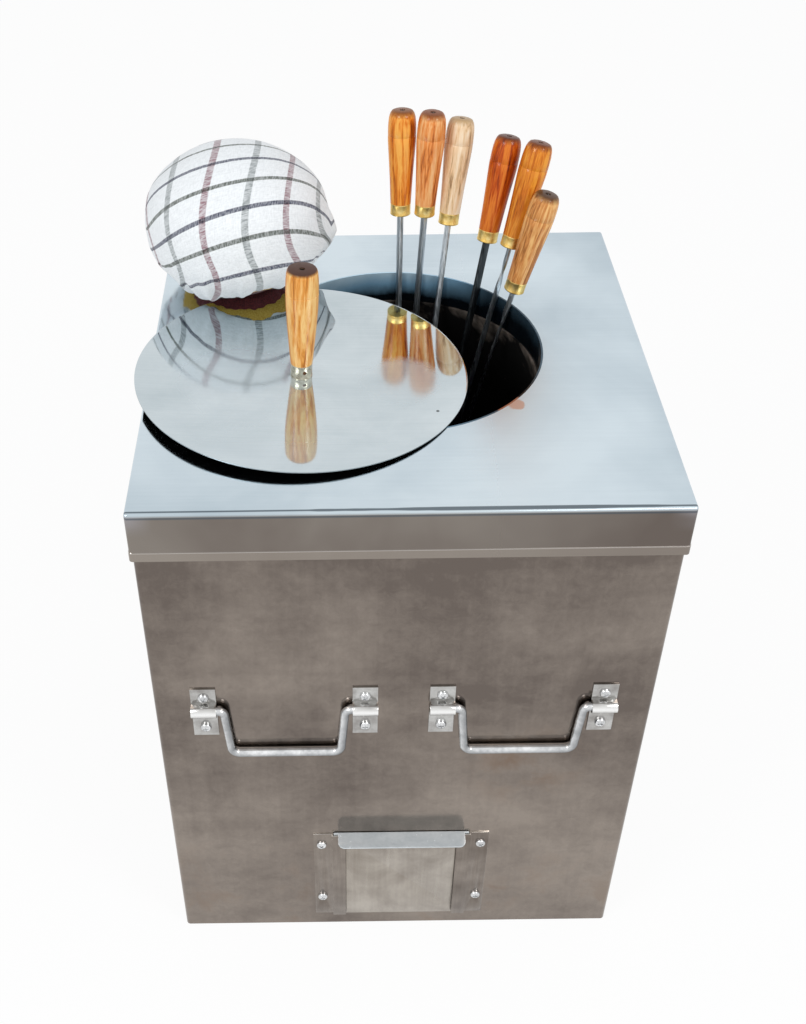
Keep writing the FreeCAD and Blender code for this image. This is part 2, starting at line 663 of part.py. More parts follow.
# Lid: a thin dished disc. It lies in the round mouth as a ball lies in a ring, so that when it is pushed
# aside it tips about the middle of its own dish and still touches the rim all the way round.
DISH = "dims.lid_dish"
HOLE = "dims.lid_bolt / 2 + dims.tang_fit"
lid = turned("lid_disc", [
    (HOLE, parabola(HOLE, DISH, "dims.lid_radius"),
     ("dims.lid_radius / 2", parabola("dims.lid_radius / 2", DISH, "dims.lid_radius"))),
    ("dims.lid_radius", DISH),
    ("dims.lid_radius", DISH + " + dims.lid_sheet",
     ("dims.lid_radius / 2", parabola("dims.lid_radius / 2", DISH, "dims.lid_radius") + " + dims.lid_sheet")),
    (HOLE, parabola(HOLE, DISH, "dims.lid_radius") + " + dims.lid_sheet"),
])
bolt = turned("lid_bolt", [
    ("0", "-1 * dims.lid_bolt_head_height"),
    ("dims.lid_bolt_head / 2 - 1", "-1 * dims.lid_bolt_head_height"),
    ("dims.lid_bolt_head / 2", "1 - dims.lid_bolt_head_height"),
    ("dims.lid_bolt_head / 2", "0"),
    ("dims.lid_bolt / 2", "0"),
    ("dims.lid_bolt / 2", "dims.lid_bolt_depth"),
    ("0", "dims.lid_bolt_depth"),
])


# Turned wooden grips: a neck inside the ferrule, a swelling body and a rounded end, bored for the tang.
def ferrule(label, radius, height, foot):
    inside = "%s - dims.ferrule_sheet" % radius
    return turned(label, [
        (inside, foot),
        (radius, foot),
        (radius, "(%s) + (%s)" % (foot, height)),
        (inside, "(%s) + (%s)" % (foot, height)),
    ])


def wooden_grip(label, neck, collar_height, swell, widest, length, top, bore, bore_depth, foot):
    inside = "%s - dims.ferrule_sheet - dims.grip_fit" % neck
    shoulder = "(%s) + (%s) + dims.grip_fit" % (foot, collar_height)
    belly = "(%s) + (%s)" % (foot, swell)
    crown = "(%s) + (%s)" % (foot, length)
    # Points that the three arcs of the side pass through: a hollow waist, a full belly and a rounded end.
    waist = ("((%s) + (%s)) / 2 - 0.06 * (%s)" % (neck, widest, widest),
             "((%s) + (%s)) / 2" % (shoulder, belly))
    full = ("(%s) * 0.985 + (%s) * 0.015" % (widest, top), "(%s) * 0.6 + (%s) * 0.4" % (belly, crown))
    end_foot = ("(%s) * 0.55 + (%s) * 0.45" % (widest, top), "(%s) - 0.28 * (%s)" % (crown, widest))
    end_round = ("(%s) * 0.985" % top, "(%s) - 0.07 * (%s)" % (crown, widest))
    return turned(label, [
        (bore, foot),
        (inside, foot),
        (inside, shoulder),
        (neck, shoulder, waist),
        (widest, belly, full),
        end_foot + (end_round,),
        ("0.8 * (%s)" % top, crown),
        ("0", crown),
        ("0", "(%s) + (%s)" % (foot, bore_depth)),
        (bore, "(%s) + (%s)" % (foot, bore_depth)),
    ])


LID_SEAT = parabola("dims.lid_ferrule_radius", DISH, "dims.lid_radius") + " + dims.lid_sheet"
lid_ferrule = ferrule("lid_ferrule", "dims.lid_ferrule_radius", "dims.lid_ferrule_height", LID_SEAT)
lid_grip = wooden_grip("lid_handle", "dims.lid_ferrule_radius", "dims.lid_ferrule_height",
                       "dims.lid_handle_swell", "dims.lid_handle_radius", "dims.lid_handle_height",
                       "dims.lid_handle_top", HOLE, "dims.lid_bolt_depth", LID_SEAT)
dish_ball = value("dims.lid_radius") ** 2 / (2 * value(DISH))
mouth = value("dims.mouth_radius")
ball_height = value("dims.oven_height") + math.sqrt(dish_ball ** 2 - mouth ** 2) + value("dims.lid_gap")
shift = Vector(value("dims.lid_shift_x"), value("dims.lid_shift_y"), 0)
tip_angle = math.degrees(math.asin(shift.Length / dish_ball))
tip_axis = Vector(0, 0, 1).cross(shift).normalize()
lid_turn = Rotation(tip_axis, -tip_angle)
ball_centre = Vector(0, value("dims.mouth_setback"), ball_height)
lid_place = Placement(ball_centre + lid_turn.multVec(Vector(0, 0, -dish_ball)), lid_turn)
for piece in (lid, bolt, lid_ferrule, lid_grip):
    piece.Placement = lid_place
    nodes.append(piece)


# Skewers: forged rods with a tang in a wooden grip and a brass ferrule. The first three are square, the
# fourth is a wide flat bar, and the last two are thin flat bars given a quarter twist under the ferrule.
def bar_section(body, name, height, wide, thick, turn=0.0):
    sketch = new_sketch(body, "XY_Plane", name, height)
    rectangle(sketch, "-1 * (%s) / 2" % wide, "(%s) / 2" % wide, "-1 * (%s) / 2" % thick, "(%s) / 2" % thick)
    sketch.AttachmentOffset = Placement(Vector(0, 0, value(height)), Rotation(Vector(0, 0, 1), turn))
    return sketch


def joined(body, name, sections):
    loft = body.newObject("PartDesign::AdditiveLoft", body.Label + "_" + name)
    loft.Profile = sections[0]
    loft.Sections = sections[1:]
    loft.Ruled = True
    doc.recompute()


def skewer(number, kind):
    wide, thick = {
        "square": ("dims.skewer_square", "dims.skewer_square"),
        "wide": ("dims.skewer_wide", "dims.skewer_wide_sheet"),
        "thin": ("dims.skewer_thin", "dims.skewer_thin_sheet"),
    }[kind]
    name = "dims.skewer_%d_" % number
    length = "(dims.oven_height + dims.skewer_above) * %sshare" % name
    grip_foot = "%s - dims.skewer_grip" % length
    rod_top = "%s + dims.skewer_tang" % grip_foot
    rod = new_body("skewer_%d_rod" % number)
    point = bar_section(rod, "point", "0", "dims.skewer_tip", "dims.skewer_tip")
    shaft = bar_section(rod, "shaft", "dims.skewer_point", wide, thick)
    joined(rod, "forged_point", [point, shaft])
    if kind == "thin":
        twist_top = "%s - dims.skewer_twist_drop" % grip_foot
        twist_foot = "%s - dims.skewer_twist" % twist_top
        shaft = bar_section(rod, "shaft_foot", "dims.skewer_point", wide, thick)
        pad(rod, shaft, "%s - dims.skewer_point" % twist_foot)
        steps = 6
        full_turn = value("dims.skewer_twist_turn")
        quarter = []
        for step in range(steps + 1):
            level = "%s + %d * dims.skewer_twist / %d" % (twist_foot, step, steps)
            quarter.append(bar_section(rod, "twist_%d" % step, level, wide, thick, full_turn * step / steps))
        joined(rod, "twist", quarter)
        neck = bar_section(rod, "neck", twist_top, wide, thick, full_turn)
        pad(rod, neck, "%s - (%s)" % (rod_top, twist_top))
    else:
        shaft = bar_section(rod, "bar", "dims.skewer_point", wide, thick)
        pad(rod, shaft, "%s - dims.skewer_point" % rod_top)
    band = ferrule("skewer_%d_ferrule" % number, "dims.grip_ferrule_radius", "dims.grip_ferrule_height",
                   grip_foot)
    bore = "sqrt((%s) ^ 2 + (%s) ^ 2) / 2 + dims.tang_fit" % (wide, thick)
    grip = wooden_grip("skewer_%d_handle" % number, "dims.grip_ferrule_radius", "dims.grip_ferrule_height",
                       "dims.grip_swell", "dims.grip_radius", "dims.skewer_grip", "dims.grip_top",
                       bore, "dims.skewer_tang", grip_foot)

    # It stands with its point on the floor of the pot and leans on the rim of the mouth.
    angle = math.radians(value(name + "angle"))
    lean = value("dims.mouth_radius - dims.skewer_rim_gap")
    setback = value("dims.mouth_setback")
    floor_radius = value("dims.pot_foot")
    foot = Vector(floor_radius * value(name + "foot_x"), floor_radius * value(name + "foot_y") + setback,
                  value(FLOOR + " + dims.skewer_stand"))
    rim = Vector(lean * math.cos(angle), lean * math.sin(angle) + setback, value("dims.oven_height"))
    turn = Rotation(Vector(0, 0, 1), rim - foot) * Rotation(Vector(0, 0, 1), value(name + "turn"))
    for piece in (rod, band, grip):
        piece.Placement = Placement(foot, turn)
    return [rod, band, grip]


for number, (kind, *_) in enumerate(SKEWERS, start=1):
    nodes += skewer(number, kind)

# Bread pad: a round stuffed cushion with a high crown, drawn in below to a base cloth with a binding. It lies
# half on the lid and half on the cover, so it leans back a little.
CLOTH = "dims.pad_base_cloth"
BELLY = CLOTH + " + dims.pad_belly"
CROWN = CLOTH + " + dims.pad_height"
SLANT = "sqrt(0.5)"
RISE = "(dims.pad_height - dims.pad_belly)"
# The shoulder is an arc that leaves the belly upright and meets the ball of the crown at 45 degrees.
SHOULDER = "(%s - dims.pad_radius * (1 - %s) / %s) / (%s - (1 - %s) ^ 2 / %s)" % (
    RISE, SLANT, SLANT, SLANT, SLANT, SLANT)
SHOULDER_R = "dims.pad_radius - (%s) * (1 - %s)" % (SHOULDER, SLANT)
SHOULDER_Z = "%s + (%s) * %s" % (BELLY, SHOULDER, SLANT)
BALL = "(%s) / %s" % (SHOULDER_R, SLANT)
cushion = turned("bread_pad", [
    ("0", CLOTH),
    ("dims.pad_foot", CLOTH,
     ("dims.pad_foot + (dims.pad_radius - dims.pad_foot) * 0.78", CLOTH + " + dims.pad_belly * 0.36")),
    ("dims.pad_radius", BELLY,
     ("dims.pad_radius - (%s) * (1 - cos(22.5))" % SHOULDER, "%s + (%s) * sin(22.5)" % (BELLY, SHOULDER))),
    (SHOULDER_R, SHOULDER_Z,
     ("(%s) * sin(22.5)" % BALL, "%s + (%s) * (cos(22.5) - 1)" % (CROWN, BALL))),
    ("0", CROWN),
])
base_cloth = turned("pad_base", [
    ("0", "0"),
    ("dims.pad_base_radius", "0"),
    ("dims.pad_base_radius", CLOTH),
    ("0", CLOTH),
])
binding = turned("pad_binding", [
    ("dims.pad_base_radius", "0"),
    ("dims.pad_base_radius + dims.pad_binding", "0"),
    ("dims.pad_base_radius + dims.pad_binding", CLOTH),
    ("dims.pad_base_radius", CLOTH),
])
tilt = value("dims.pad_tilt")
reach = value("dims.pad_base_radius + dims.pad_binding")
seat = Vector(value("dims.pad_x"), value("dims.pad_y"),
              value("dims.oven_height + dims.pad_gap") + reach * math.sin(math.radians(tilt)))
for piece in (cushion, base_cloth, binding):
    piece.Placement = Placement(seat, Rotation(Vector(1, 0, 0), -tilt))
    nodes.append(piece)

doc.recompute()
for feature in doc.Objects:
    if "Invalid" in feature.State or "Error" in feature.State:
        raise RuntimeError("failed: %s %s" % (feature.Label, feature.State))
for node in nodes:
    if node.Shape.isNull() or not node.Shape.isValid() or not node.Shape.Solids:
        raise RuntimeError("no valid solid: " + node.Label)

os.makedirs("parts", exist_ok=True)
for node in nodes:
    node.Shape.exportStep("parts/%s.step" % node.Label)
print(len(nodes), "nodes")
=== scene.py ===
import math

import bpy
import numpy as np
from mathutils import Matrix, Vector


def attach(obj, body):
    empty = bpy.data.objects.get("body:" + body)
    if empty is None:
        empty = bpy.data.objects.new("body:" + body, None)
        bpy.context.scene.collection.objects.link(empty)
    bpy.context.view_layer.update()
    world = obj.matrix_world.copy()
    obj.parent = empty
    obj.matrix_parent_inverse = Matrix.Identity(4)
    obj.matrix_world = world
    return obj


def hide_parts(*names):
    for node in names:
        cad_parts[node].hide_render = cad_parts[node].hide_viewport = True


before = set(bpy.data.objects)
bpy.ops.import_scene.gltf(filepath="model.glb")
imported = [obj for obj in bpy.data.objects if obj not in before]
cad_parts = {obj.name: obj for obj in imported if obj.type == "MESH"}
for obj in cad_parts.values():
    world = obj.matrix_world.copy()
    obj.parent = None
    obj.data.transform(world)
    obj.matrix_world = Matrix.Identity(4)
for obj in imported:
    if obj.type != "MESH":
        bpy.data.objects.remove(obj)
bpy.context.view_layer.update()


# Case shell: one sheet of stainless steel wrapped round four bends and closed at the rear.
# It was buffed by hand, so it is cloudy, brown-grey and streaked with fine upright strokes.
def linear(colour):
    """An sRGB hex colour as linear red, green, blue and alpha."""
    parts = [int(colour[place:place + 2], 16) / 255 for place in (1, 3, 5)]
    return [part / 12.92 if part <= 0.04045 else ((part + 0.055) / 1.055) ** 2.4 for part in parts] + [1.0]


def feed(node, sockets):
    """Links a node or an output into each socket that is named, or sets the socket's own value."""
    for socket, source in sockets.items():
        if isinstance(source, bpy.types.Node):
            source = next(output for output in source.outputs if output.enabled)
        if isinstance(source, bpy.types.NodeSocket):
            node.id_data.links.new(source, node.inputs[socket])
        else:
            node.inputs[socket].default_value = source


def add(tree, kind, sockets=None, ramp=(), **settings):
    """One node of a material: its settings, its sockets and the stops of a colour ramp, ends first."""
    made = tree.nodes.new("ShaderNode" + kind)
    for name, setting in settings.items():
        setattr(made, name, setting)
    feed(made, sockets or {})
    for number, (position, colour) in enumerate(ramp):
        stops = made.color_ramp.elements
        stop = stops[number] if number < 2 else stops.new(position)
        stop.position = position
        stop.color = linear(colour)
    return made


# the sockets of a colour mix
SHARE, UNDER, OVER = 0, 6, 7


def finish_named(name):
    """A new material with its shader, and the place on the piece in metres."""
    material = bpy.data.materials.new(name)
    material.use_nodes = True
    tree = material.node_tree
    tree.nodes.clear()
    shader = add(tree, "BsdfPrincipled")
    add(tree, "OutputMaterial", {"Surface": shader})
    place = add(tree, "TexCoord").outputs["Object"]
    return material, tree, shader, place


def dress(node, material):
    """Gives a node of the frame its finish."""
    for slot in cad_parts[node].material_slots:
        slot.material = material


def streaks(tree, place, sizes, noise, turn=0.0):
    """Noise in streaks of the given sizes in mm along X, Y and Z, turned about Z."""
    stretched = add(tree, "Mapping", {"Vector": place, "Rotation": (0, 0, turn),
                                      "Scale": [1000 / size for size in sizes]})
    return add(tree, "TexNoise", {"Vector": stretched, "Scale": 1.0, **noise})


def near_spot(tree, place, spot, outer, inner, most=1.0, ragged=None, tear=0.0):
    """How strong a mark is: at its most within the inner distance of a spot, none beyond the outer.
    All distances are in metres. A noise can tear the edge of the mark."""
    away = add(tree, "VectorMath", {0: place, 1: spot}, operation="DISTANCE")
    if ragged:
        away = add(tree, "Math", {0: ragged, 1: tear, 2: away}, operation="MULTIPLY_ADD")
    return add(tree, "MapRange", {"Value": away, "From Min": outer, "From Max": inner, "To Max": most})


buffed_steel, tree, shader, place = finish_named("buffed_stainless_case")
# soft clouds about 190 mm across, from the buffing wheel, smudges about 45 mm across, and wiped bands
# about 130 mm long and 24 mm high
clouds = add(tree, "TexNoise", {"Vector": place, "Scale": 1000 / 190, "Detail": 4.0, "Roughness": 0.5})
smudges = add(tree, "TexNoise", {"Vector": place, "Scale": 1000 / 45, "Detail": 5.0, "Roughness": 0.65,
                                 "Distortion": 0.3})
wiped = streaks(tree, place, (130, 130, 24), {"Detail": 4.0, "Roughness": 0.55, "Distortion": 0.5})
# upright strokes about 6 mm wide and 160 mm long
strokes = streaks(tree, place, (6, 6, 160), {"Detail": 3.0, "Roughness": 0.6})
smudged = add(tree, "Math", {0: smudges, 1: 0.3}, operation="MULTIPLY")
banded = add(tree, "Math", {0: wiped, 1: 0.13, 2: smudged}, operation="MULTIPLY_ADD")
cloudy = add(tree, "Math", {0: clouds, 1: 0.5, 2: banded}, operation="MULTIPLY_ADD")
streaky = add(tree, "Math", {0: strokes, 1: 0.07, 2: cloudy}, operation="MULTIPLY_ADD")
# scuffs about 8 mm across
scuffs = add(tree, "TexNoise", {"Vector": place, "Scale": 1000 / 8, "Detail": 4.0, "Roughness": 0.75,
                                "Distortion": 0.8})
scuffed = add(tree, "Math", {0: scuffs, 1: 0.14, 2: streaky}, operation="MULTIPLY_ADD")
# painted shade: the sheet is painted darker high up, under the cover, and lighter low down
height = add(tree, "SeparateXYZ", {"Vector": place}).outputs["Z"]
painted_light_and_shade = add(tree, "MapRange", {"Value": height, "From Min": 0.44, "From Max": 0.07, "To Min": -0.065,
                                "To Max": 0.03})
shaded = add(tree, "Math", {0: scuffed, 1: painted_light_and_shade}, operation="ADD")
tone = add(tree, "ValToRGB", {"Fac": shaded}, [(0.45, "#6C635D"), (0.69, "#968C83")])
# rain and ash have left brown stains low on the sheet
near_floor = add(tree, "MapRange", {"Value": height, "From Min": 0.16, "From Max": 0.02, "To Max": 0.3})
stain = add(tree, "MapRange", {"Value": smudges, "From Min": 0.52, "From Max": 0.66})
marks = add(tree, "Math", {0: near_floor, 1: stain}, operation="MULTIPLY")
# and smoke leaks out in patches to the right of the ash door and under the right bail
patch = add(tree, "MapRange", {"Value": smudges, "From Min": 0.44, "From Max": 0.62, "To Max": 0.55})
for spot, size in (((0.094, -0.2012, 0.046), 0.034), ((0.105, -0.2012, 0.235), 0.060)):
    near = near_spot(tree, place, spot, size, size * 0.2)
    leak = add(tree, "Math", {0: near, 1: patch}, operation="MULTIPLY")
    marks = add(tree, "Math", {0: marks, 1: leak}, operation="MAXIMUM")
case_tone = add(tree, "Mix", {SHARE: marks, UNDER: tone, OVER: linear("#6B4F38")}, data_type="RGBA")
gloss = add(tree, "MapRange", {"Value": cloudy, "From Min": 0.3, "From Max": 0.6, "To Min": 0.09,
                               "To Max": 0.19})
# the sheet isn't dead flat: it waves a little over about 140 mm
dents = add(tree, "TexNoise", {"Vector": place, "Scale": 1000 / 140, "Detail": 1.0})
wavy = add(tree, "Bump", {"Height": dents, "Strength": 0.35, "Distance": 0.0008})
feed(shader, {"Metallic": 1.0, "Base Color": case_tone, "Roughness": gloss, "Normal": wavy})
dress("body_shell", buffed_steel)


# Base plate: a tray of mild steel welded into the foot of the shell, left grey from the mill.
# It carries the pot and isn't seen from above. Its scale is mottled over about 18 mm.
def mottled_finish(name, grain, noise, tones, gloss, fixed, bump=None, turned=False):
    """A finish of one noise: its grain in mm, its ramp of tones, its least and most roughness, the
    shader's fixed values, and the strength and depth of its bump. A turned one follows the lathe."""
    material, tree, shader, place = finish_named(name)
    if turned:
        place = add(tree, "Attribute", attribute_name="turned").outputs["Vector"]
    mottle = streaks(tree, place, grain, noise)
    feed(shader, {"Base Color": add(tree, "ValToRGB", {"Fac": mottle}, tones), **fixed})
    if gloss:
        least, most = gloss
        glossy = add(tree, "MapRange", {"Value": mottle, "To Min": least, "To Max": most})
        feed(shader, {"Roughness": glossy})
    if bump:
        strength, distance = bump
        bumpy = add(tree, "Bump", {"Height": mottle, "Strength": strength, "Distance": distance})
        feed(shader, {"Normal": bumpy})
    return material


mill_steel = mottled_finish("mild_steel_mill_scale", (18, 18, 18), {"Detail": 6.0, "Roughness": 0.7},
                            [(0.35, "#3C3A39"), (0.7, "#75706B")], (0.42, 0.62), {"Metallic": 0.9})
dress("base_plate", mill_steel)


# Insulation: mineral wool packed between the pot and the shell and closed in on all sides. It is a dull
# straw colour, matted from tufts about 2 mm thick and 14 mm long.
mineral_wool = mottled_finish("mineral_wool", (14, 14, 2),
                              {"Detail": 6.0, "Roughness": 0.75, "Distortion": 1.5},
                              [(0.0, "#7C6A45"), (1.0, "#C9B98C")], None, {"Roughness": 0.95},
                              bump=(0.8, 0.002))
dress("insulation", mineral_wool)


# Clay pot: thrown earthenware, pale brown where the clay is bare near the rim and black with soot
# below. The thrower's fingers leave low rings about 57 mm apart.
fired_clay, tree, shader, place = finish_named("fired_clay_sooted")
# grog about 6 mm across, and soot that thins out towards the rim in patches about 38 mm across
height = add(tree, "SeparateXYZ", {"Vector": place}).outputs["Z"]
grog = add(tree, "TexNoise", {"Vector": place, "Scale": 1000 / 6, "Detail": 6.0, "Roughness": 0.7})
clay_tone = add(tree, "ValToRGB", {"Fac": grog}, [(0.3, "#7A6C61"), (0.7, "#A89E95")])
depth = add(tree, "MapRange", {"Value": height, "From Min": 0.455, "From Max": 0.495, "To Min": 1.4,
                               "To Max": 0.7})
patches = add(tree, "TexNoise", {"Vector": place, "Scale": 1000 / 38, "Detail": 4.0, "Roughness": 0.6,
                                 "Distortion": 0.8})
lift = add(tree, "Math", {0: patches, 1: 2.4, 2: -1.2}, operation="MULTIPLY_ADD")
soot = add(tree, "Math", {0: depth, 1: lift}, operation="ADD", use_clamp=True)
sooted = add(tree, "Mix", {SHARE: soot, UNDER: clay_tone, OVER: linear("#080707")}, data_type="RGBA")
# a wave runs through 20 radians in each unit of its scale
WAVE_RADIANS = 20
RING_GAP = 56.55
rings = add(tree, "TexWave", {"Vector": place, "Scale": 2 * math.pi * 1000 / RING_GAP / WAVE_RADIANS,
                              "Distortion": 1.5, "Detail": 2.0}, bands_direction="Z")
thrown = add(tree, "Bump", {"Height": rings, "Strength": 0.5, "Distance": 0.0008})
rough_clay = add(tree, "Bump", {"Height": grog, "Strength": 0.5, "Distance": 0.0006, "Normal": thrown})
feed(shader, {"Roughness": 0.92, "Specular IOR Level": 0.15, "Base Color": sooted, "Normal": rough_clay})
dress("clay_pot", fired_clay)


# Ash chute: a folded sleeve of thin mild steel, left as it came from the mill. It leads from the door
# opening to the air hole of the pot and shows only when the door is up.
dress("ash_chute", mill_steel)


# Top cover: a square cap of polished stainless sheet with a folded skirt and hem. Its top is painted
# bright and slightly blue, as a painted reflection of the sky, and its skirt has the darker brown-grey of
# the case: top and skirt are lit and shaded copies of one steel. Its corners are welded and ground.
def near_level(tree, height, level, outer, inner, most):
    """How strong a tint is: at its most within the inner distance of a level, none beyond the outer."""
    off = add(tree, "Math", {0: height, 1: level}, operation="SUBTRACT")
    away = add(tree, "Math", {0: off}, operation="ABSOLUTE")
    return add(tree, "MapRange", {"Value": away, "From Min": outer, "From Max": inner, "To Max": most})


cap_steel, tree, shader, place = finish_named("polished_stainless_cap")
across, behind, height = add(tree, "SeparateXYZ", {"Vector": place}).outputs
on_top = add(tree, "MapRange", {"Value": height, "From Min": 0.517, "From Max": 0.5192})
# broad polishing clouds about 160 mm across and rub marks about 3 mm wide and 90 mm long
clouds = add(tree, "TexNoise", {"Vector": place, "Scale": 1000 / 160, "Detail": 4.0, "Roughness": 0.5,
                                "Distortion": 0.3})
rubs = streaks(tree, place, (90, 3, 60), {"Detail": 3.0, "Roughness": 0.6}, turn=0.5)
worn = add(tree, "Math", {0: rubs, 1: 0.1, 2: clouds}, operation="MULTIPLY_ADD")
# painted reflection: the top is painted pale blue for the sky that it mirrors
top_painted_sky_tone = add(tree, "ValToRGB", {"Fac": worn}, [(0.4, "#B8C6CF"), (0.7, "#D2DEE5")])
# painted light: the skirt is painted a little brighter at the left than at the right
painted_left_light = add(tree, "Math", {0: across, 1: -0.75, 2: worn}, operation="MULTIPLY_ADD")
skirt_tone = add(tree, "ValToRGB", {"Fac": painted_left_light}, [(0.42, "#6F6660"), (0.68, "#878079")])
# ground welds, streaked by the stone: within about 16 mm of the four corners and 20 mm of the bend
beside = add(tree, "Math", {0: across}, operation="ABSOLUTE")
before = add(tree, "Math", {0: behind}, operation="ABSOLUTE")
outward = add(tree, "Math", {0: beside, 1: before}, operation="ADD")
at_corner = add(tree, "MapRange", {"Value": outward, "From Min": 0.386, "From Max": 0.402})
below_bend = add(tree, "MapRange", {"Value": height, "From Min": 0.498, "From Max": 0.517,
                                    "To Max": 0.55})
in_weld = add(tree, "Math", {0: at_corner, 1: below_bend}, operation="MULTIPLY")
stoned = add(tree, "MapRange", {"Value": rubs, "From Min": 0.42, "From Max": 0.58})
weld = add(tree, "Math", {0: in_weld, 1: stoned}, operation="MULTIPLY")
ground = add(tree, "Mix", {SHARE: weld, UNDER: skirt_tone, OVER: linear("#A9A7AE")}, data_type="RGBA")
cap_tone = add(tree, "Mix", {SHARE: on_top, UNDER: ground, OVER: top_painted_sky_tone}, data_type="RGBA")
# a dark line of uneven width is painted on the top 3 mm behind the front bend, as painted shade in
# a crease left by the press
off_crease = add(tree, "Math", {0: behind, 1: 0.1998}, operation="ADD")
from_crease = add(tree, "Math", {0: off_crease}, operation="ABSOLUTE")
uneven = add(tree, "MapRange", {"Value": clouds, "From Min": 0.5, "From Max": 0.62, "To Max": 0.0011})
crease_way = add(tree, "Math", {0: from_crease, 1: uneven}, operation="SUBTRACT")
painted_crease_shade = add(tree, "MapRange", {"Value": crease_way, "From Min": 0.0013, "From Max": 0.0005, "To Max": 0.8})
crease_shade_on_top = add(tree, "Math", {0: painted_crease_shade, 1: on_top}, operation="MULTIPLY")
# a dark line of painted shade runs under the bend, and the hem is painted lighter, with a painted
# highlight along its lip
painted_bend_shade = near_level(tree, height, 0.5164, 0.0013, 0.0004, 0.7)
painted_hem_light = add(tree, "MapRange", {"Value": height, "From Min": 0.4843, "From Max": 0.4837, "To Max": 0.5})
painted_lip_highlight = near_level(tree, height, 0.484, 0.0005, 0.0002, 0.45)
# fire clay was wiped over the rim of the mouth at the front right
ragged = add(tree, "TexNoise", {"Vector": place, "Scale": 1000 / 9, "Detail": 3.0})
clay = near_spot(tree, place, (0.0885, -0.0755, 0.52), 0.0122, 0.0108, 0.8, ragged, 0.01)
for share, tint in ((crease_shade_on_top, "#36434D"), (painted_bend_shade, "#4C5862"), (painted_hem_light, "#A39A91"), (painted_lip_highlight, "#F4F1EE"),
                    (clay, "#C39A84")):
    cap_tone = add(tree, "Mix", {SHARE: share, UNDER: cap_tone, OVER: linear(tint)}, data_type="RGBA")
gloss = add(tree, "MapRange", {"Value": worn, "From Min": 0.3, "From Max": 0.8, "To Min": 0.08,
                               "To Max": 0.14})
# skewers are laid down on the right of the cover, which has dulled it
handled = add(tree, "MapRange", {"Value": across, "From Min": 0.03, "From Max": 0.1, "To Max": 0.3})
dulled = add(tree, "Math", {0: gloss, 1: handled}, operation="ADD")
dents = add(tree, "TexNoise", {"Vector": place, "Scale": 1000 / 150, "Detail": 1.0})
wavy = add(tree, "Bump", {"Height": dents, "Strength": 0.3, "Distance": 0.001})
feed(shader, {"Metallic": 1.0, "Base Color": cap_tone, "Roughness": dulled, "Normal": wavy})
dress("top_cover", cap_steel)


# Mouth collar: a rolled sleeve let into the cover. It is painted blue near the top as a painted
# reflection of the sky, and painted darker downwards, at the right and at the front, as painted shade
# in the mouth. Fire clay has been smeared on at the front.
collar_steel, tree, shader, place = finish_named("stainless_collar_painted_sky_and_shade")
across, behind, height = add(tree, "SeparateXYZ", {"Vector": place}).outputs
# painted reflection and shade: blue for the sky near the top, going dark downwards into the mouth
height_share = add(tree, "MapRange", {"Value": height, "From Min": 0.496, "From Max": 0.52})
collar_mottle = add(tree, "TexNoise", {"Vector": place, "Scale": 1000 / 26, "Detail": 4.0, "Roughness": 0.6})
mottled = add(tree, "Math", {0: collar_mottle, 1: 0.5, 2: -0.25}, operation="MULTIPLY_ADD")
painted_sky_reflection = add(tree, "Math", {0: height_share, 1: mottled}, operation="ADD")
# painted shade: the right side and the front are painted black
painted_lit_side = add(tree, "MapRange", {"Value": across, "From Min": 0.085, "From Max": 0.02, "To Min": 0.12})
painted_lit_rear = add(tree, "MapRange", {"Value": behind, "From Min": -0.07, "From Max": -0.02, "To Min": 0.3})
painted_lit_part = add(tree, "Math", {0: painted_lit_side, 1: painted_lit_rear}, operation="MULTIPLY")
painted_lit_share = add(tree, "Math", {0: painted_sky_reflection, 1: painted_lit_part}, operation="MULTIPLY")
tone = add(tree, "ValToRGB", {"Fac": painted_lit_share}, [(0.05, "#0C1218"), (1.0, "#C4E2F4"), (0.5, "#82AECB")])
# the smear of clay, at the front right of the mouth
smear_edge = near_spot(tree, place, (0.083, -0.075, 0.51), 0.022, 0.012)
smear = add(tree, "Math", {0: smear_edge, 1: collar_mottle}, operation="MULTIPLY")
smeared = add(tree, "MapRange", {"Value": smear, "From Min": 0.3, "From Max": 0.42})
collar_tone = add(tree, "Mix", {SHARE: smeared, UNDER: tone, OVER: linear("#8A5236")}, data_type="RGBA")
metal = add(tree, "MapRange", {"Value": smeared, "To Min": 0.35, "To Max": 0.0})
gloss = add(tree, "MapRange", {"Value": smeared, "To Min": 0.16, "To Max": 0.8})
feed(shader, {"Base Color": collar_tone, "Metallic": metal, "Roughness": gloss})
dress("mouth_collar", collar_steel)


# Door guides: Z-section strips of stainless sheet, sheared and folded, screwed to the front of the
# case. The sheared edges are eased with a file and catch the light.
def eased_copy(node, name, edge):
    """A copy of a node whose sharp edges are eased by a few tenths of a millimetre."""
    bpy.ops.object.select_all(action="DESELECT")
    piece = bpy.data.objects.new(name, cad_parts[node].data.copy())
    bpy.context.scene.collection.objects.link(piece)
    bpy.context.view_layer.objects.active = piece
    piece.select_set(True)
    bpy.ops.mesh.customdata_custom_splitnormals_clear()
    bpy.ops.object.mode_set(mode="EDIT")
    bpy.ops.mesh.select_all(action="SELECT")
    bpy.ops.mesh.remove_doubles(threshold=1e-6)
    bpy.ops.mesh.dissolve_limited(angle_limit=math.radians(0.2))
    bpy.ops.object.mode_set(mode="OBJECT")
    ease = piece.modifiers.new("eased", "BEVEL")
    ease.width = edge / 1000
    ease.segments = 2
    ease.limit_method = "ANGLE"
    ease.angle_limit = math.radians(40)
    bpy.ops.object.modifier_apply(modifier=ease.name)
    bpy.ops.object.shade_smooth_by_angle(angle=math.radians(35))
    return piece


def fit(piece, material, slot, body, *nodes):
    """Gives a finished piece its material, the nodes that it replaces and its body. The slot is not used.
    """
    piece.data.materials.clear()
    piece.data.materials.append(material)
    if nodes:
        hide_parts(*nodes)
    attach(piece, body)


trim_steel, tree, shader, place = finish_named("stainless_trim_strip")
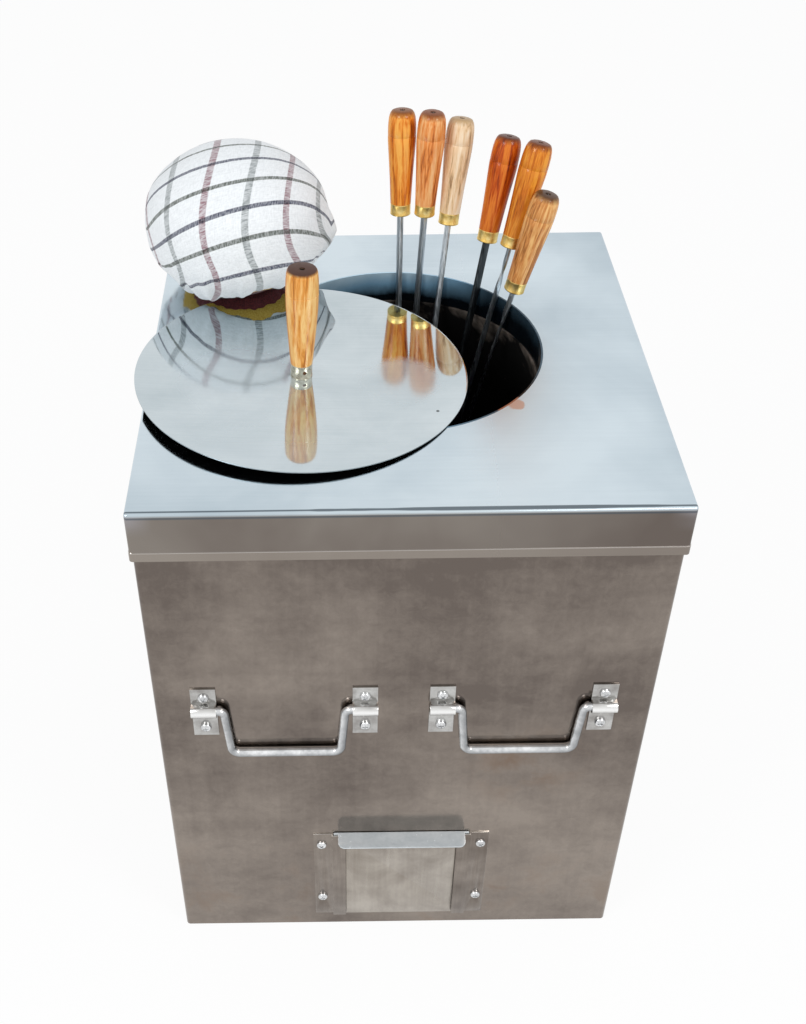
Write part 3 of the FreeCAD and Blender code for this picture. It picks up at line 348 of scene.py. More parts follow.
# a fine upright grain, 2.5 mm wide and 60 mm long, over clouds about 45 mm across
grain = streaks(tree, place, (2.5, 2.5, 60), {"Detail": 4.0, "Roughness": 0.6})
clouds = add(tree, "TexNoise", {"Vector": place, "Scale": 1000 / 45, "Detail": 4.0, "Roughness": 0.6})
streaky = add(tree, "Math", {0: grain, 1: 0.3, 2: clouds}, operation="MULTIPLY_ADD")
tone = add(tree, "ValToRGB", {"Fac": streaky}, [(0.45, "#6B625B"), (0.85, "#968D85")])
# painted highlights: the sheared edges that face up and outwards are painted near white
facing = add(tree, "SeparateXYZ", {"Vector": add(tree, "TexCoord").outputs["Normal"]})
across = add(tree, "SeparateXYZ", {"Vector": place}).outputs["X"]
outward = add(tree, "Math", {0: facing.outputs["X"], 1: across}, operation="MULTIPLY")
outer = add(tree, "MapRange", {"Value": outward, "From Min": 0.03, "From Max": 0.05})
upper = add(tree, "MapRange", {"Value": facing.outputs["Z"], "From Min": 0.45, "From Max": 0.75})
edge = add(tree, "Math", {0: outer, 1: upper}, operation="MAXIMUM")
edge_highlighted_tone = add(tree, "Mix", {SHARE: edge, UNDER: tone, OVER: linear("#ECEBE8")}, data_type="RGBA")
gloss = add(tree, "MapRange", {"Value": grain, "To Min": 0.14, "To Max": 0.28})
feed(shader, {"Metallic": 1.0, "Base Color": edge_highlighted_tone, "Roughness": gloss})
for hand in ("left", "right"):
    guide = eased_copy("door_guide_" + hand, "guide_strip_" + hand, 0.35)
    fit(guide, trim_steel, "trim_steel", "oven", "door_guide_" + hand)


# Screws: round-headed machine screws of zinc-plated steel with a cross recess, driven through the
# straps and guides into the case. They are modelled once and copied. The plating is bright, with a
# faint spangle about 7 mm across.
bright_zinc = mottled_finish("bright_zinc_plated_steel", (7, 7, 7), {"Detail": 4.0, "Roughness": 0.6},
                             [(0.3, "#B4B5B6"), (0.7, "#ECEDEE")], (0.12, 0.3), {"Metallic": 1.0})


def drawn_up(name, stations, sides):
    """A turned piece about +Z, drawn up ring by ring from a disc. Stations are (radius, height) in mm."""
    radius, height = stations[0]
    bpy.ops.object.select_all(action="DESELECT")
    bpy.ops.mesh.primitive_circle_add(vertices=sides, radius=radius / 1000, fill_type="NGON",
                                      location=(0, 0, height / 1000))
    piece = bpy.context.object
    piece.name = name
    bpy.ops.object.transform_apply(location=True)
    bpy.ops.object.mode_set(mode="EDIT")
    bpy.ops.mesh.select_all(action="SELECT")
    for next_radius, next_height in stations[1:]:
        rise = (0, 0, (next_height - height) / 1000)
        bpy.ops.mesh.extrude_region_move(TRANSFORM_OT_translate={"value": rise})
        share = next_radius / radius
        bpy.ops.transform.resize(value=(share, share, 1), center_override=(0, 0, next_height / 1000))
        radius, height = next_radius, next_height
    bpy.ops.mesh.select_all(action="SELECT")
    bpy.ops.mesh.normals_make_consistent(inside=False)
    bpy.ops.object.mode_set(mode="OBJECT")
    bpy.ops.object.shade_smooth_by_angle(angle=math.radians(40))
    return piece


screw = drawn_up("round_head_screw", [(2.0, -4.5), (2.0, 0.0), (4.5, 0.0), (4.45, 0.9), (4.1, 1.6),
                                      (3.4, 2.25), (2.4, 2.7), (1.2, 2.95), (0.3, 3.0)], 28)
# two crossed bars cut the recess in the head
RECESS_LENGTH, RECESS_WIDTH, RECESS_DEPTH = 4.6, 0.9, 2.4
RECESS_HEIGHT = 2.7
for turn in (0.0, 90.0):
    bpy.ops.mesh.primitive_cube_add(
        size=1, location=(0, 0, RECESS_HEIGHT / 1000), rotation=(0, 0, math.radians(turn)),
        scale=(RECESS_LENGTH / 1000, RECESS_WIDTH / 1000, RECESS_DEPTH / 1000))
    bar = bpy.context.object
    cut = screw.modifiers.new("recess", "BOOLEAN")
    cut.operation = "DIFFERENCE"
    cut.solver = "EXACT"
    cut.object = bar
    bpy.context.view_layer.objects.active = screw
    bpy.ops.object.modifier_apply(modifier=cut.name)
    bpy.data.objects.remove(bar)


def copy_of(shape, name):
    """A second object of the same shape, with a mesh of its own."""
    copy = shape.copy()
    copy.data = shape.data.copy()
    copy.name = name
    bpy.context.scene.collection.objects.link(copy)
    return copy


# each screw is left at a turn of its own, in degrees
FIRST_TURN, TURN_STEP = 11.0, 37.0


def screws_at(name, seats, into, node):
    """Copies of the screw with their heads standing on the seats, as one piece."""
    copies = []
    for number, seat in enumerate(seats):
        copy = copy_of(screw, name)
        spin = Matrix.Rotation(math.radians(TURN_STEP * number + FIRST_TURN), 4, "Z")
        lay = Vector((0, 0, -1)).rotation_difference(Vector(into)).to_matrix().to_4x4()
        copy.data.transform(Matrix.Translation(Vector(seat) / 1000) @ lay @ spin)
        copies.append(copy)
    bpy.ops.object.select_all(action="DESELECT")
    for copy in copies:
        copy.select_set(True)
    bpy.context.view_layer.objects.active = copies[0]
    bpy.ops.object.join()
    bpy.ops.object.shade_smooth_by_angle(angle=math.radians(40))
    fit(bpy.context.object, bright_zinc, "bright_steel", "oven", node)


# the door stands a little to the right of the middle, and the guides' feet lie on the case
DOOR_OFFSET = 2.3
GUIDE_SCREWS_OFF = 71.5
GUIDE_FACE = -202.4
GUIDE_SCREW_HEIGHTS = (46.0, 127.0)
guide_seats = [(side * GUIDE_SCREWS_OFF + DOOR_OFFSET, GUIDE_FACE, height)
               for side in (-1, 1) for height in GUIDE_SCREW_HEIGHTS]
screws_at("guide_round_heads", guide_seats, (0, 1, 0), "guide_screws")


# Ash door: a plate of stainless sheet that slides up between the guides. Its top is folded out as a
# finger ledge with rounded corners, which looks up at the sky and is painted pale blue like the cover,
# as a painted reflection of the sky.
door_steel, tree, shader, place = finish_named("stainless_ash_door")
height = add(tree, "SeparateXYZ", {"Vector": place}).outputs["Z"]
# clouds about 50 mm across and an upright grain, 3 mm wide and 80 mm long
clouds = add(tree, "TexNoise", {"Vector": place, "Scale": 1000 / 50, "Detail": 5.0, "Roughness": 0.6,
                                "Distortion": 0.4})
grain = streaks(tree, place, (3, 3, 80), {"Detail": 4.0})
streaky = add(tree, "Math", {0: grain, 1: 0.25, 2: clouds}, operation="MULTIPLY_ADD")
plate_tone = add(tree, "ValToRGB", {"Fac": streaky}, [(0.42, "#8B8279"), (0.8, "#B5AEA4")])
# painted reflection: the ledge is painted pale blue for the sky that it faces
ledge_painted_sky_tone = add(tree, "ValToRGB", {"Fac": streaky}, [(0.42, "#BEC5C9"), (0.8, "#DCE1E4")])
on_ledge = add(tree, "MapRange", {"Value": height, "From Min": 0.142, "From Max": 0.143})
door_tone = add(tree, "Mix", {SHARE: on_ledge, UNDER: plate_tone, OVER: ledge_painted_sky_tone}, data_type="RGBA")
# the ledge is scuffed by fingers, so it is duller than the plate
scuffed = add(tree, "MapRange", {"Value": on_ledge, "To Min": 1.0, "To Max": 0.35})
gloss = add(tree, "MapRange", {"Value": grain, "To Min": 0.16, "To Max": 0.32})
feed(shader, {"Base Color": door_tone, "Metallic": scuffed, "Roughness": gloss})
door = eased_copy("ash_door", "ash_door_plate", 0.4)
fit(door, door_steel, "trim_steel", "ash_door", "ash_door")


# Bail handles: 7 mm rod, bent cold and chrome plated, each turning in two pressed straps. The straps
# lie flat on the case above and below the rod and are held by two screws each.
chrome, tree, shader, place = finish_named("chrome_plated_rod")
# bright plating, worn in patches about 12 mm across
wear = add(tree, "TexNoise", {"Vector": place, "Scale": 1000 / 12, "Detail": 5.0, "Roughness": 0.65})
tone = add(tree, "ValToRGB", {"Fac": wear}, [(0.3, "#B6B8BA"), (0.65, "#F2F3F4")])
# painted light and shade: the upper side is painted bright and the lower and right sides dark grey,
# by the way each face looks
sides = add(tree, "VectorMath", {0: add(tree, "TexCoord").outputs["Normal"], 1: (-0.5, -0.1, 0.85)},
            operation="DOT_PRODUCT")
painted_rod_shade = add(tree, "MapRange", {"Value": sides, "From Min": 0.62, "From Max": -0.35, "To Max": 0.85})
painted_light_and_shade = add(tree, "Mix", {SHARE: painted_rod_shade, UNDER: tone, OVER: linear("#54575A")}, data_type="RGBA")
gloss = add(tree, "MapRange", {"Value": wear, "To Min": 0.05, "To Max": 0.16})
feed(shader, {"Metallic": 0.75, "Base Color": painted_light_and_shade, "Roughness": gloss})

strap_steel, tree, shader, place = finish_named("zinc_plated_pressed_strap")
# grey plating, cloudy over about 16 mm
clouds = add(tree, "TexNoise", {"Vector": place, "Scale": 1000 / 16, "Detail": 5.0, "Roughness": 0.6})
tone = add(tree, "ValToRGB", {"Fac": clouds}, [(0.3, "#969390"), (0.7, "#CACAC8")])
# a painted highlight on the crown of the arch, and a band of painted shade under it
height = add(tree, "SeparateXYZ", {"Vector": place}).outputs["Z"]
painted_crown_highlight = near_level(tree, height, 0.316, 0.0038, 0.0006, 1.0)
painted_light_and_shade = add(tree, "Mix", {SHARE: painted_crown_highlight, UNDER: tone, OVER: linear("#F6F6F5")}, data_type="RGBA")
painted_shade_under_crown = near_level(tree, height, 0.3098, 0.0022, 0.0006, 0.6)
strap_tone = add(tree, "Mix", {SHARE: painted_shade_under_crown, UNDER: painted_light_and_shade, OVER: linear("#6E6A67")}, data_type="RGBA")
gloss = add(tree, "MapRange", {"Value": clouds, "To Min": 0.1, "To Max": 0.22})
feed(shader, {"Metallic": 1.0, "Base Color": strap_tone, "Roughness": gloss})

STRAP_FACE = 202.7
STRAP_MIDDLE = 309.0
STRAP_SCREWS_OFF = 17.5
STRAPS_OFF = 65.0
BAILS_OFF = 96.0
for name, side, face in (("front_left", -1, -1), ("front_right", 1, -1),
                         ("rear_left", -1, 1), ("rear_right", 1, 1)):
    dress("bail_" + name, chrome)
    straps = eased_copy("saddles_" + name, "straps_" + name, 0.45)
    fit(straps, strap_steel, "bright_steel", "oven", "saddles_" + name)
    seats = [(side * BAILS_OFF + end * STRAPS_OFF, face * STRAP_FACE,
              STRAP_MIDDLE + level * STRAP_SCREWS_OFF) for end in (-1, 1) for level in (-1, 1)]
    screws_at("strap_round_heads_" + name, seats, (0, -face, 0), "saddle_screws_" + name)
bpy.data.objects.remove(screw)


# Lid: a thin disc of stainless sheet, slightly dished and polished like a mirror. It is pushed aside
# and lies tipped across the mouth. Grease and fine scratches veil the mirror, and its underside is
# painted black, for soot and as painted shade in the gap under the lid.
mirror_steel, tree, shader, place = finish_named("mirror_polished_stainless_lid")
# clouds about 70 mm across and rub marks about 1.6 mm wide and 60 mm long
clouds = add(tree, "TexNoise", {"Vector": place, "Scale": 1000 / 70, "Detail": 5.0, "Roughness": 0.55,
                                "Distortion": 0.4})
rubs = streaks(tree, place, (60, 1.6, 60), {"Detail": 4.0, "Roughness": 0.65}, turn=-0.2)
worn = add(tree, "Math", {0: rubs, 1: 0.3, 2: clouds}, operation="MULTIPLY_ADD")
tone = add(tree, "ValToRGB", {"Fac": worn}, [(0.4, "#BAC5CA"), (0.85, "#CFD8DC")])
# painted shade and soot: the faces that look down are painted black
upward = add(tree, "SeparateXYZ", {"Vector": add(tree, "NewGeometry").outputs["Normal"]}).outputs["Z"]
soot = add(tree, "MapRange", {"Value": upward, "From Min": 0.1, "From Max": -0.1})
# one small burn, about 2.5 mm across, marks the right of the disc
burn = near_spot(tree, place, (0.0273, -0.0838, 0.5206), 0.0016, 0.0009, 0.85)
dark = add(tree, "Math", {0: soot, 1: burn}, operation="MAXIMUM")
sooted = add(tree, "Mix", {SHARE: dark, UNDER: tone, OVER: linear("#0B0A0A")}, data_type="RGBA")
# the veil of grease is thickest at the front, where hands take the lid
behind = add(tree, "SeparateXYZ", {"Vector": place}).outputs["Y"]
clean = add(tree, "MapRange", {"Value": behind, "From Min": -0.14, "From Max": -0.075, "To Min": 0.68,
                               "To Max": 1.0})
# two ragged hazy veils lie in front of the pad and of the skewers, where these are mirrored: painted
# light, they make the mirrored pad and grips paler, as if lit from below
ragged = add(tree, "TexNoise", {"Vector": place, "Scale": 1000 / 14, "Detail": 4.0, "Roughness": 0.6})
painted_light_veils = []
for spot, outer, inner, most in (((-0.130, -0.042, 0.523), 0.084, 0.042, 0.36),
                                 ((0.000, -0.041, 0.522), 0.046, 0.036, 0.38)):
    painted_light_veils.append(near_spot(tree, place, spot, outer, inner, most, ragged, 0.016))
wiped = add(tree, "Math", {0: painted_light_veils[0], 1: painted_light_veils[1]}, operation="MAXIMUM")
veiled = add(tree, "Math", {0: clean, 1: wiped}, operation="SUBTRACT")
bare = add(tree, "Math", {0: 1.0, 1: soot}, operation="SUBTRACT")
metal = add(tree, "Math", {0: veiled, 1: bare}, operation="MULTIPLY")
gloss = add(tree, "MapRange", {"Value": worn, "From Min": 0.3, "From Max": 0.9, "To Min": 0.02,
                               "To Max": 0.06})
greasy = add(tree, "Math", {0: wiped, 1: 0.14, 2: gloss}, operation="MULTIPLY_ADD")
dulled = add(tree, "Math", {0: greasy, 1: soot}, operation="MAXIMUM")
# the beaten sheet isn't true: inside its rim it leans towards the front by about four degrees
lean = add(tree, "Math", {0: behind, 1: math.tan(math.radians(4.0))}, operation="MULTIPLY")
leaning = add(tree, "Bump", {"Height": lean, "Strength": 1.0, "Distance": 1.0})
# soot has no gloss of its own
feed(shader, {"Specular IOR Level": 0.0, "Base Color": sooted, "Metallic": metal, "Roughness": dulled,
              "Normal": leaning})

# The lid lies in the mouth as a ball lies in a ring: its dish has a radius of 2475 mm and its middle
# is 89.5 mm from the middle of the mouth, so it tips by that share of the radius.
OVEN_HEIGHT = 520.0
MOUTH_RADIUS = 119.2
MOUTH_SET_BACK = 11.0
LID_RADIUS = 133.5
LID_DISH = 3.6
LID_SHEET = 1.2
LID_EDGE = 0.2
# loose pieces lie a little clear of what carries them
LOOSE_GAP = 0.3
DISH_BALL = LID_RADIUS ** 2 / (2 * LID_DISH)
LID_SHIFT = Vector((-79.0, -42.0, 0.0))
lid_tip = math.asin(LID_SHIFT.length / DISH_BALL)
lid_turn = Matrix.Rotation(-lid_tip, 4, Vector((0, 0, 1)).cross(LID_SHIFT).normalized())
ball_height = OVEN_HEIGHT + math.sqrt(DISH_BALL ** 2 - MOUTH_RADIUS ** 2) + LOOSE_GAP
lid_middle = Vector((0, MOUTH_SET_BACK, ball_height)) + lid_turn.to_3x3() @ Vector((0, 0, -DISH_BALL))
lid_place = Matrix.Translation(lid_middle / 1000) @ lid_turn
lid_rings = [(share * LID_RADIUS, LID_DISH * share ** 2)
             for share in (0.02, 0.2, 0.4, 0.6, 0.8, 0.92, 0.98, 0.992, 0.997)]
lid_rim = [(LID_RADIUS, LID_DISH + LID_EDGE), (LID_RADIUS, LID_DISH + LID_SHEET - LID_EDGE)]
lid_top = [(radius, height + LID_SHEET) for radius, height in reversed(lid_rings)]
disc = drawn_up("lid_mirror_disc", lid_rings + lid_rim + lid_top, 160)
disc.data.transform(lid_place)
fit(disc, mirror_steel, "lid_steel", "lid", "lid_disc")
dress("lid_bolt", bright_zinc)


# Lid handle: turned hardwood under clear lacquer, with a scribed line and a lathe centre in its dark
# flat top. A steel ferrule, nailed once, holds its foot to the lid.
def lacquered_wood(name, pale, body, dark, end_tone, length, end_depth, shift):
    """Turned wood under lacquer. Its grain runs along the piece and its end grain is darker."""
    material, tree, shader, _ = finish_named(name)
    along = add(tree, "Attribute", attribute_name="turned").outputs["Vector"]
    moved = add(tree, "VectorMath", {0: along, 1: shift}, operation="ADD")
    # figure about 5 mm wide and 70 mm long, pores about 0.9 mm wide and 10 mm long
    figure = streaks(tree, moved, (5, 5, 70), {"Detail": 4.0, "Roughness": 0.55, "Distortion": 0.9})
    pores = streaks(tree, moved, (0.9, 0.9, 10), {"Detail": 2.0})
    grain = add(tree, "Math", {0: pores, 1: 0.28, 2: figure}, operation="MULTIPLY_ADD")
    tone = add(tree, "ValToRGB", {"Fac": grain}, [(0.42, dark), (0.76, pale), (0.58, body)])
    height = add(tree, "SeparateXYZ", {"Vector": along}).outputs["Z"]
    at_end = add(tree, "MapRange", {"Value": height, "From Min": (length - end_depth) / 1000,
                                    "From Max": length / 1000})
    wood = add(tree, "Mix", {SHARE: at_end, UNDER: tone, OVER: linear(end_tone)}, data_type="RGBA")
    # the centre left by the lathe is darkened
    on_axis = add(tree, "VectorMath", {0: along, 1: (1, 1, 0)}, operation="MULTIPLY")
    off_axis = add(tree, "VectorMath", {0: on_axis}, operation="LENGTH")
    centre = add(tree, "MapRange", {"Value": off_axis, "From Min": 0.0026, "From Max": 0.0018})
    centre_darkened = add(tree, "Mix", {SHARE: centre, UNDER: wood, OVER: linear("#1C120C")}, data_type="RGBA")
    gloss = add(tree, "MapRange", {"Value": grain, "To Min": 0.28, "To Max": 0.5})
    raised = add(tree, "Bump", {"Height": pores, "Strength": 0.25, "Distance": 0.0002})
    feed(shader, {"Base Color": centre_darkened, "Roughness": gloss, "Specular IOR Level": 0.12,
                  "Coat Weight": 0.28, "Coat Roughness": 0.08, "Normal": raised})
    return material


def settle(piece, matrix, material, slot, body, *nodes):
    """Notes each point's place on the lathe, sets the piece in place and gives it its finish."""
    note = piece.data.attributes.new("turned", "FLOAT_VECTOR", "POINT")
    for point, vertex in zip(note.data, piece.data.vertices):
        point.vector = vertex.co
    piece.data.transform(matrix)
    fit(piece, material, slot, body, *nodes)


BAND_RADIUS = 8.8
lid_seat = LID_DISH * BAND_RADIUS ** 2 / LID_RADIUS ** 2 + LID_SHEET
on_lid = lid_place @ Matrix.Translation((0, 0, lid_seat / 1000))

LID_GRIP_LENGTH = 95.8
grip = drawn_up("lid_grip", [
    (8.0, 0.2), (8.0, 12.1), (BAND_RADIUS, 12.1), (9.6, 20.0), (10.6, 32.0), (11.7, 46.0), (12.5, 58.0),
    (12.95, 69.0), (13.0, 75.2), (12.7, 75.5), (12.7, 76.0), (12.98, 76.3), (12.95, 82.0), (12.75, 88.0),
    (12.4, 92.0), (11.9, 94.4), (11.2, 95.6), (10.6, LID_GRIP_LENGTH), (2.2, LID_GRIP_LENGTH), (1.7, 94.4),
    (0.5, 92.4)], 48)
lid_wood = lacquered_wood("lacquered_hardwood_lid_grip", "#F6C880", "#E09440", "#A05A1C", "#48291C",
                          LID_GRIP_LENGTH, 2.2, (0.3, 0.1, 0.0))
settle(grip, on_lid, lid_wood, "lid_wood", "lid", "lid_handle")

# bright steel with a yellow tarnish in patches about 5 mm across
ferrule_steel = mottled_finish("steel_ferrule_tarnished", (5, 5, 5), {"Detail": 5.0, "Roughness": 0.65},
                               [(0.3, "#9C937F"), (0.7, "#E2DCC9")], (0.18, 0.4), {"Metallic": 1.0},
                               turned=True)
band = drawn_up("lid_band", [
    (8.3, 0.0), (8.65, 0.0), (BAND_RADIUS, 0.3), (BAND_RADIUS, 1.0), (8.6, 1.4), (8.6, 10.4),
    (BAND_RADIUS, 10.9), (BAND_RADIUS, 11.6), (8.6, 12.0), (8.3, 12.0)], 48)
settle(band, on_lid, ferrule_steel, "ferrule_steel", "lid", "lid_ferrule")

# dark brown rust, mottled over about 1 mm
nail_steel = mottled_finish("rusted_nail", (0.9, 0.9, 0.9), {"Detail": 3.0},
                            [(0.0, "#2E211A"), (1.0, "#7A5334")], None,
                            {"Metallic": 0.7, "Roughness": 0.6})
nail = drawn_up("lid_band_nail", [(1.5, 0.0), (1.5, 0.35), (1.2, 0.65), (0.6, 0.75), (0.3, 0.5)], 16)
NAIL_BEARING = -72.0
NAIL_OUT, NAIL_HEIGHT = 8.5, 6.5
nail.data.transform(on_lid @ Matrix.Rotation(math.radians(NAIL_BEARING), 4, "Z")
                    @ Matrix.Translation((NAIL_OUT / 1000, 0, NAIL_HEIGHT / 1000))
                    @ Matrix.Rotation(math.radians(90), 4, "Y"))
fit(nail, nail_steel, "ferrule_steel", "lid")


# Skewers: forged steel rods driven into turned wooden grips, each with a brass ferrule. Three are
# square, one is a wide flat bar and two are thin flat bars with a twist. The grips are turned alike.

# the rods are bright and dark in drawn-out streaks about 1.6 mm wide, and one bar is black from the fire
forged_steel = mottled_finish("forged_steel_rod", (1.6, 1.6, 40), {"Detail": 5.0, "Roughness": 0.65},
                              [(0.32, "#7E878D"), (0.68, "#D2D9DE")], (0.2, 0.45), {"Metallic": 1.0})
black_steel = mottled_finish("blackened_steel_bar", (2, 2, 30), {"Detail": 5.0, "Roughness": 0.65},
                             [(0.32, "#1E2224"), (0.7, "#565C60")], None,
                             {"Metallic": 1.0, "Roughness": 0.4})
# the brass is warm and a little tarnished, in patches about 6 mm across
brass = mottled_finish("spun_brass_ferrule", (6, 6, 6), {"Detail": 5.0, "Roughness": 0.65},
                       [(0.3, "#D6A848"), (0.68, "#FFE7A2")], (0.32, 0.5), {"Metallic": 1.0}, turned=True)

GRIP_LENGTH = 91.0
grip_shape = drawn_up("skewer_grip", [
    (8.1, 0.2), (8.1, 10.1), (8.9, 10.1), (9.25, 18.0), (9.8, 30.0), (10.6, 44.0), (11.4, 56.0),
    (11.9, 64.0), (12.0, 69.4), (11.8, 69.7), (11.8, 70.1), (12.0, 70.4), (11.95, 76.0), (11.7, 81.0),
    (11.1, 85.5), (10.2, 88.4), (9.0, 90.2), (7.4, 90.9), (2.3, GRIP_LENGTH), (1.8, 89.6), (0.5, 87.6)], 40)
ferrule_shape = drawn_up("skewer_ferrule", [
    (8.3, 0.0), (8.65, 0.0), (8.9, 0.3), (8.9, 1.0), (8.75, 1.4), (8.75, 8.9), (8.9, 9.3), (8.75, 10.0),
    (8.3, 10.0)], 40)
# the rods lean on a ring just inside the mouth and stand on the floor of the pot
ROD_INSIDE_MOUTH = 3.7
LEAN_RADIUS = MOUTH_RADIUS - ROD_INSIDE_MOUTH
FLOOR_RADIUS = 116.0
FLOOR_HEIGHT = 30.0
SKEWER_LENGTH = 642.0
BLACK_SKEWER = 4
# each grip is cut from another place in the wood, this far on in metres
GRAIN_STEP = (0.037, 0.021, 0.11)
SKEWERS = [
    # pale, body, dark and end tones, slot, rim angle, foot in shares of the pot's floor, turn, length share
    (("#F4AE50", "#E07E22", "#8A3C10", "#7E4A22"), "orange_wood", 86.3, 0.061, 0.589, 30.0, 0.999),
    (("#F6BE80", "#E48840", "#8C3A16", "#7E4420"), "orange_wood", 77.3, 0.029, 0.828, 40.0, 1.0),
    (("#F7E2C4", "#E6C296", "#9E7C58", "#B7966C"), "pale_wood", 67.4, -0.025, 0.210, 15.0, 1.0),
    (("#DE7C28", "#BE4E0A", "#601A06", "#54260E"), "orange_wood", 49.9, -0.042, 0.085, 35.0, 0.995),
    (("#F0A03A", "#D0721A", "#7C3408", "#6A3414"), "orange_wood", 39.4, -0.171, 0.072, 20.0, 1.006),
    (("#EEBA78", "#CC8444", "#6C3E1C", "#4E3422"), "brown_wood", 30.8, -0.146, 0.453, 60.0, 0.952),
]
for number, (tones, slot, angle, beside, behind, turn, share) in enumerate(SKEWERS, start=1):
    body = "skewer_%d" % number
    rim = math.radians(angle)
    lean = Vector((LEAN_RADIUS * math.cos(rim), LEAN_RADIUS * math.sin(rim) + MOUTH_SET_BACK, OVEN_HEIGHT))
    foot = Vector((FLOOR_RADIUS * beside, FLOOR_RADIUS * behind + MOUTH_SET_BACK, FLOOR_HEIGHT + LOOSE_GAP))
    aim = Vector((0, 0, 1)).rotation_difference(lean - foot).to_matrix().to_4x4()
    grip_foot = (Matrix.Translation(foot / 1000) @ aim @ Matrix.Rotation(math.radians(turn), 4, "Z")
                 @ Matrix.Translation((0, 0, (SKEWER_LENGTH * share - GRIP_LENGTH) / 1000)))
    grip = copy_of(grip_shape, body + "_grip")
    wood = lacquered_wood("lacquered_hardwood_grip_%d" % number, *tones, GRIP_LENGTH, 5.0,
                          [step * number for step in GRAIN_STEP])
    settle(grip, grip_foot, wood, slot, body, body + "_handle")
    band = copy_of(ferrule_shape, body + "_band")
    settle(band, grip_foot, brass, "brass", body, body + "_ferrule")
    rod = eased_copy(body + "_rod", body + "_bar", 0.25)
    rod_steel = black_steel if number == BLACK_SKEWER else forged_steel
    fit(rod, rod_steel, "rod_steel", body, body + "_rod")
bpy.data.objects.remove(grip_shape)
bpy.data.objects.remove(ferrule_shape)


# Bread pad: a round cushion of white checked cotton, stuffed hard and drawn in under its belly. The
# cloth is one square pulled over the stuffing, with its spare fullness gathered below and at one side.
def points_of(piece):
    """The points of a mesh, in metres."""
    return np.array([vertex.co for vertex in piece.data.vertices])


def put_points(piece, spots):
    """Moves the points of a mesh to their new places, in metres."""
    for vertex, spot in zip(piece.data.vertices, spots):
        vertex.co = spot


def off_bearing(bearing, degrees):
    """How far round the pad each point is from a bearing, in radians either way."""
    return (bearing - math.radians(degrees) + math.pi) % (2 * math.pi) - math.pi


def uneven_waves(bearing, count, sway, beats, start=0):
    """A count of waves round the pad. They crowd and spread by the sway, in so many beats from a start."""
    return np.sin(count * bearing + sway * np.sin(beats * bearing + start))


# it lies with its front on the lid and its rear on the cover, so it is tipped back
PAD_TILT = math.radians(2.8)
PAD_ACROSS, PAD_BEHIND = -135.0, 119.0
PAD_FOOT = 52.0
pad_height = OVEN_HEIGHT + LOOSE_GAP + PAD_FOOT * math.sin(PAD_TILT)
pad_seat = Matrix.Translation(Vector((PAD_ACROSS, PAD_BEHIND, pad_height)) / 1000)
pad_place = pad_seat @ Matrix.Rotation(-PAD_TILT, 4, "X")
cushion = drawn_up("bread_cushion", [
    (46.0, 13.6), (55.5, 13.0), (58.5, 15.0), (65.5, 21.0), (73.0, 29.5), (78.4, 41.0), (79.6, 61.0),
    (77.0, 78.0), (72.0, 87.5), (64.5, 96.5), (52.0, 107.0), (39.0, 114.6), (24.0, 120.2),
    (8.0, 123.0)], 48)
remesh = cushion.modifiers.new("stuffing", "REMESH")
remesh.mode = "VOXEL"
remesh.voxel_size = 0.0042
bpy.ops.object.modifier_apply(modifier=remesh.name)
SEWN_BELOW = 0.017
BLOW_FRAMES = 20
start = points_of(cushion)
swollen = start.copy()
# the cloth is blown out from inside, held where it is sewn to its base
held = cushion.vertex_groups.new(name="sewn")
held.add([int(i) for i in np.nonzero(start[:, 2] < SEWN_BELOW)[0]], 1.0, "REPLACE")
blow = cushion.modifiers.new("blown", "CLOTH")
blow.settings.use_pressure = True
blow.settings.uniform_pressure_force = 4.0
blow.settings.effector_weights.gravity = 0.0
blow.settings.vertex_group_mass = held.name
for step in range(1, BLOW_FRAMES + 1):
    bpy.context.scene.frame_set(step)
bpy.context.view_layer.objects.active = cushion
bpy.ops.object.modifier_apply(modifier=blow.name)
bpy.context.scene.frame_set(1)
swollen = points_of(cushion)
PAD_SWELL = 0.0052
moved = swollen - start
reach = np.linalg.norm(moved, axis=1, keepdims=True)
swollen = start + moved * np.minimum(1.0, PAD_SWELL / np.maximum(reach, 1e-9))
put_points(cushion, swollen)
finer = cushion.modifiers.new("finer", "SUBSURF")
finer.levels = 1
finer.render_levels = 1
bpy.context.view_layer.objects.active = cushion
bpy.ops.object.modifier_apply(modifier=finer.name)

# two sets of gathers, a coarse and a fine one, deepen from the belly down and end inside the seam
GATHERS_TOP, GATHERS_HEIGHT = 50.0, 36.0
SEAM_RADIUS, SEAM_WIDTH = 40.0, 12.0
COARSE_DEPTH, FINE_DEPTH = 1.3, 0.8
spots = points_of(cushion) * 1000
bearing = np.arctan2(spots[:, 1], spots[:, 0])
radius = np.hypot(spots[:, 0], spots[:, 1])
low = np.clip((GATHERS_TOP - spots[:, 2]) / GATHERS_HEIGHT, 0.0, 1.0)
low = low * low * (3 - 2 * low) * np.clip((radius - SEAM_RADIUS) / SEAM_WIDTH, 0.0, 1.0)
gathers = (COARSE_DEPTH * uneven_waves(bearing, 26, 1.8, 3)
           + FINE_DEPTH * uneven_waves(bearing, 41, 2.0, 5, 1))
# one fold of spare cloth stands out at the right
PAD_RADIUS = 84.0
FOLD_BEARING = -7.0
FOLD_DEPTH, FOLD_WIDTH = 9.6, 9.0
FOLD_LEVEL, FOLD_REACH = 51.0, 27.0
fold = (FOLD_DEPTH * np.exp(-np.abs(off_bearing(bearing, FOLD_BEARING)) * PAD_RADIUS / FOLD_WIDTH)
        * np.clip(1 - np.abs(spots[:, 2] - FOLD_LEVEL) / FOLD_REACH, 0.0, 1.0))
push = low * gathers + fold
